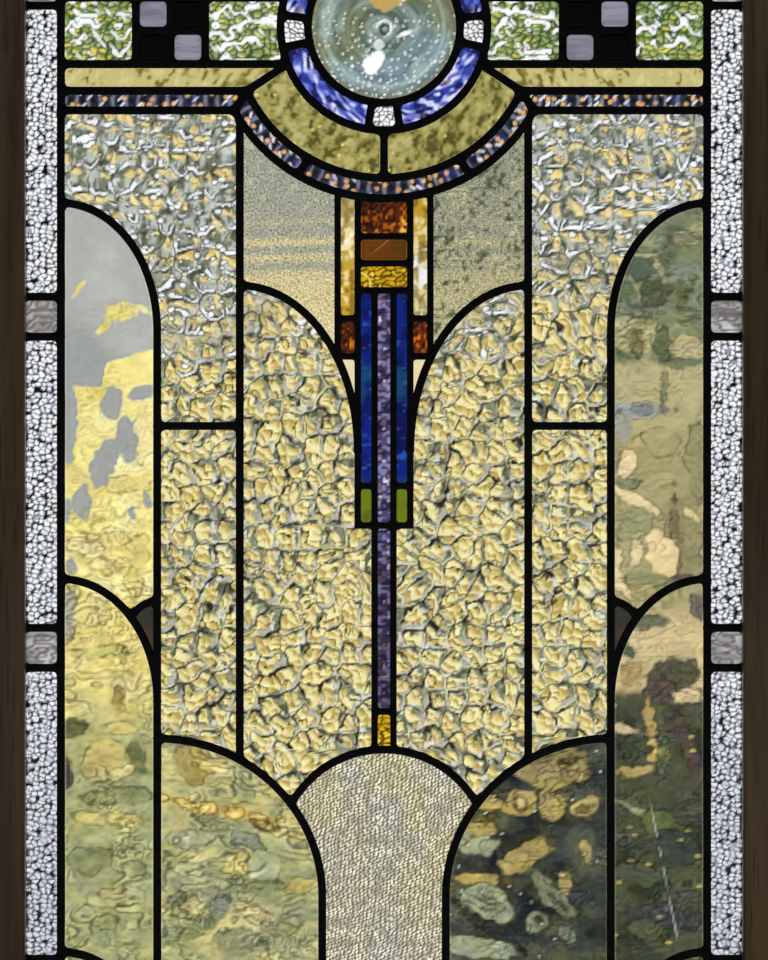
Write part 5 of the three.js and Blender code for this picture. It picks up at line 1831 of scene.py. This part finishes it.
def wave_right(x, z, inset):
    """Very dark green-grey, with crisp ochre patches above, pale green ones below, and sparkles."""
    at_x, at_z = stirred(x, z, 705, 0.55)
    tone = clouds(x + 5 * drift(x, z, 16, 711), z * 1.3, 22, 713)
    colour = paint((58, 62, 52), (82, 86, 66), ease(0.0, 0.5, tone))
    colour = paint(colour, (36, 39, 36), ease(-0.1, -0.5, tone))
    ochre, mint = (168, 149, 88), (154, 160, 126)
    colour = patched(
        colour, at_x, at_z, 720,
        ((154, 138, 86), (127, 343), (29, 14), 10), ((132, 114, 70), (114, 350), (10, 4), 10),
        (ochre, (143, 336), (9, 5), 20), ((84, 90, 70), (158, 350), (6, 5), 30),
        ((76, 70, 46), (143, 350), (9, 2), 10), (ochre, (75, 318), (13, 5), -10),
        (ochre, (72, 300), (13, 8), 15), ((84, 76, 46), (76, 306), (9, 2.5), 10),
        (ochre, (100.5, 316), (11, 11), 5), ((110, 92, 50), (101, 317), (5, 6.5), 10),
        ((196, 172, 112), (101, 317), (3, 4.5), 10), ((166, 150, 90), (125, 314), (9, 10.5), 0),
        ((182, 164, 104), (152, 314), (14, 8), 18), ((120, 106, 62), (150, 312), (7, 2.5), 18),
        (ochre, (105, 277), (20, 9), 24), ((44, 46, 38), (98, 288), (15, 5), 22),
        ((176, 156, 90), (69, 260), (18, 4), -3), (ochre, (151, 281), (3.6, 8), 20),
        ((166, 148, 90), (136, 257), (5.5, 8), 0), ((148, 152, 120), (70, 285), (15, 6), -10),
        (mint, (75, 239), (22, 17), -12), ((112, 118, 84), (80, 240), (11, 5), -20),
        ((42, 45, 38), (78, 223), (26, 4.5), -36), ((124, 130, 100), (125, 248), (23, 6.5), -48),
        ((56, 60, 48), (132, 240), (7, 1.6), -48), (mint, (67, 209), (26, 8), -8),
        ((122, 128, 98), (115, 228), (8.5, 8), 0), ((70, 74, 56), (116, 228), (3, 3), 0),
        ((128, 134, 104), (138, 218), (4.5, 8.5), 40),
    )
    colour = drawn_out(colour, x, z, 740, 19, 1.0, 0.6)
    _, to_x, to_z, draw = cells(x, z, 12, 716)
    sparkle = ease(1.5, 0.7, np.hypot(to_x, to_z * 1.6)) * (draw > 0.84)
    colour = paint(colour, (226, 230, 226), sparkle)
    # A pale painted highlight along the pane's edge.
    return rolled(x, z, 701), paint(colour, (170, 168, 140), band(inset, 1.6, 1.8) * 0.4)


wave = under_arch(WAVE, ARCH_X)
add_pair("rolled_wave", wave, wave_right, ROLLED, "wave_{}", wave_left)


def stem_half(z):
    """Half the width of the stem: its lines below, and the dome above."""
    dome = circle_x(DOME_R - KERF, np.maximum(z, DOME_Z), DOME_Z)
    return np.minimum(arch_x(WAVE, z, KERF), dome)


ends = BORDER_LOW + KERF, DOME_Z + DOME_R - KERF
stem = ruled(PINHEAD, lambda z: -stem_half(z), stem_half, *ends)
add_pane("pinhead_stem", stem, pinhead, PINHEAD, "stem")

# ---- The studio --------------------------------------------------------------------------------
# A plain pale floor, soft light from all round that is stronger behind the window, and a camera
# square to the middle of the panel.
SIDE, BEHIND = 1.5, 0.8  # how far the floor reaches, in metres
BACK_LIGHT, FRONT_LIGHT = 1.12, 0.2
LENS, SENSOR = 200, 36
VIEW_WIDTH = 576  # width of the panel that fills the view, in millimetres
VIEW_Z = 558.7

floor_mesh = bpy.data.meshes.new("floor")
floor_corners = [(-SIDE, -SIDE, 0), (SIDE, -SIDE, 0), (SIDE, BEHIND, 0), (-SIDE, BEHIND, 0)]
floor_mesh.from_pydata(floor_corners, [], [(0, 1, 2, 3)])
floor = bpy.data.objects.new("floor", floor_mesh)
bpy.context.collection.objects.link(floor)
pale, _, _ = new_material("pale_floor", Base_Color=(0.82, 0.82, 0.80, 1), Roughness=0.6)
floor_mesh.materials.append(pale)

world = bpy.data.worlds.new("studio")
bpy.context.scene.world = world
world.use_nodes = True
sky = world.node_tree
way_seen = sky.nodes.new("ShaderNodeTexCoord").outputs["Generated"]
depth = node(sky, "ShaderNodeSeparateXYZ", {"Vector": way_seen})
strength = eased(sky, depth.outputs["Y"], -0.4, 0.4, To_Min=FRONT_LIGHT, To_Max=BACK_LIGHT)
feed(sky, sky.nodes["Background"], {"Color": (0.98, 0.99, 1.0, 1), "Strength": strength})

camera = bpy.data.objects.new("camera", bpy.data.cameras.new("camera"))
bpy.context.collection.objects.link(camera)
camera.data.sensor_fit = "HORIZONTAL"
camera.data.sensor_width = SENSOR
camera.data.lens = LENS
camera.location = (0, -VIEW_WIDTH * MM * LENS / SENSOR, VIEW_Z * MM)
camera.rotation_euler = (math.radians(90), 0, 0)
bpy.context.scene.camera = camera
bpy.context.scene.view_settings.view_transform = "Standard"
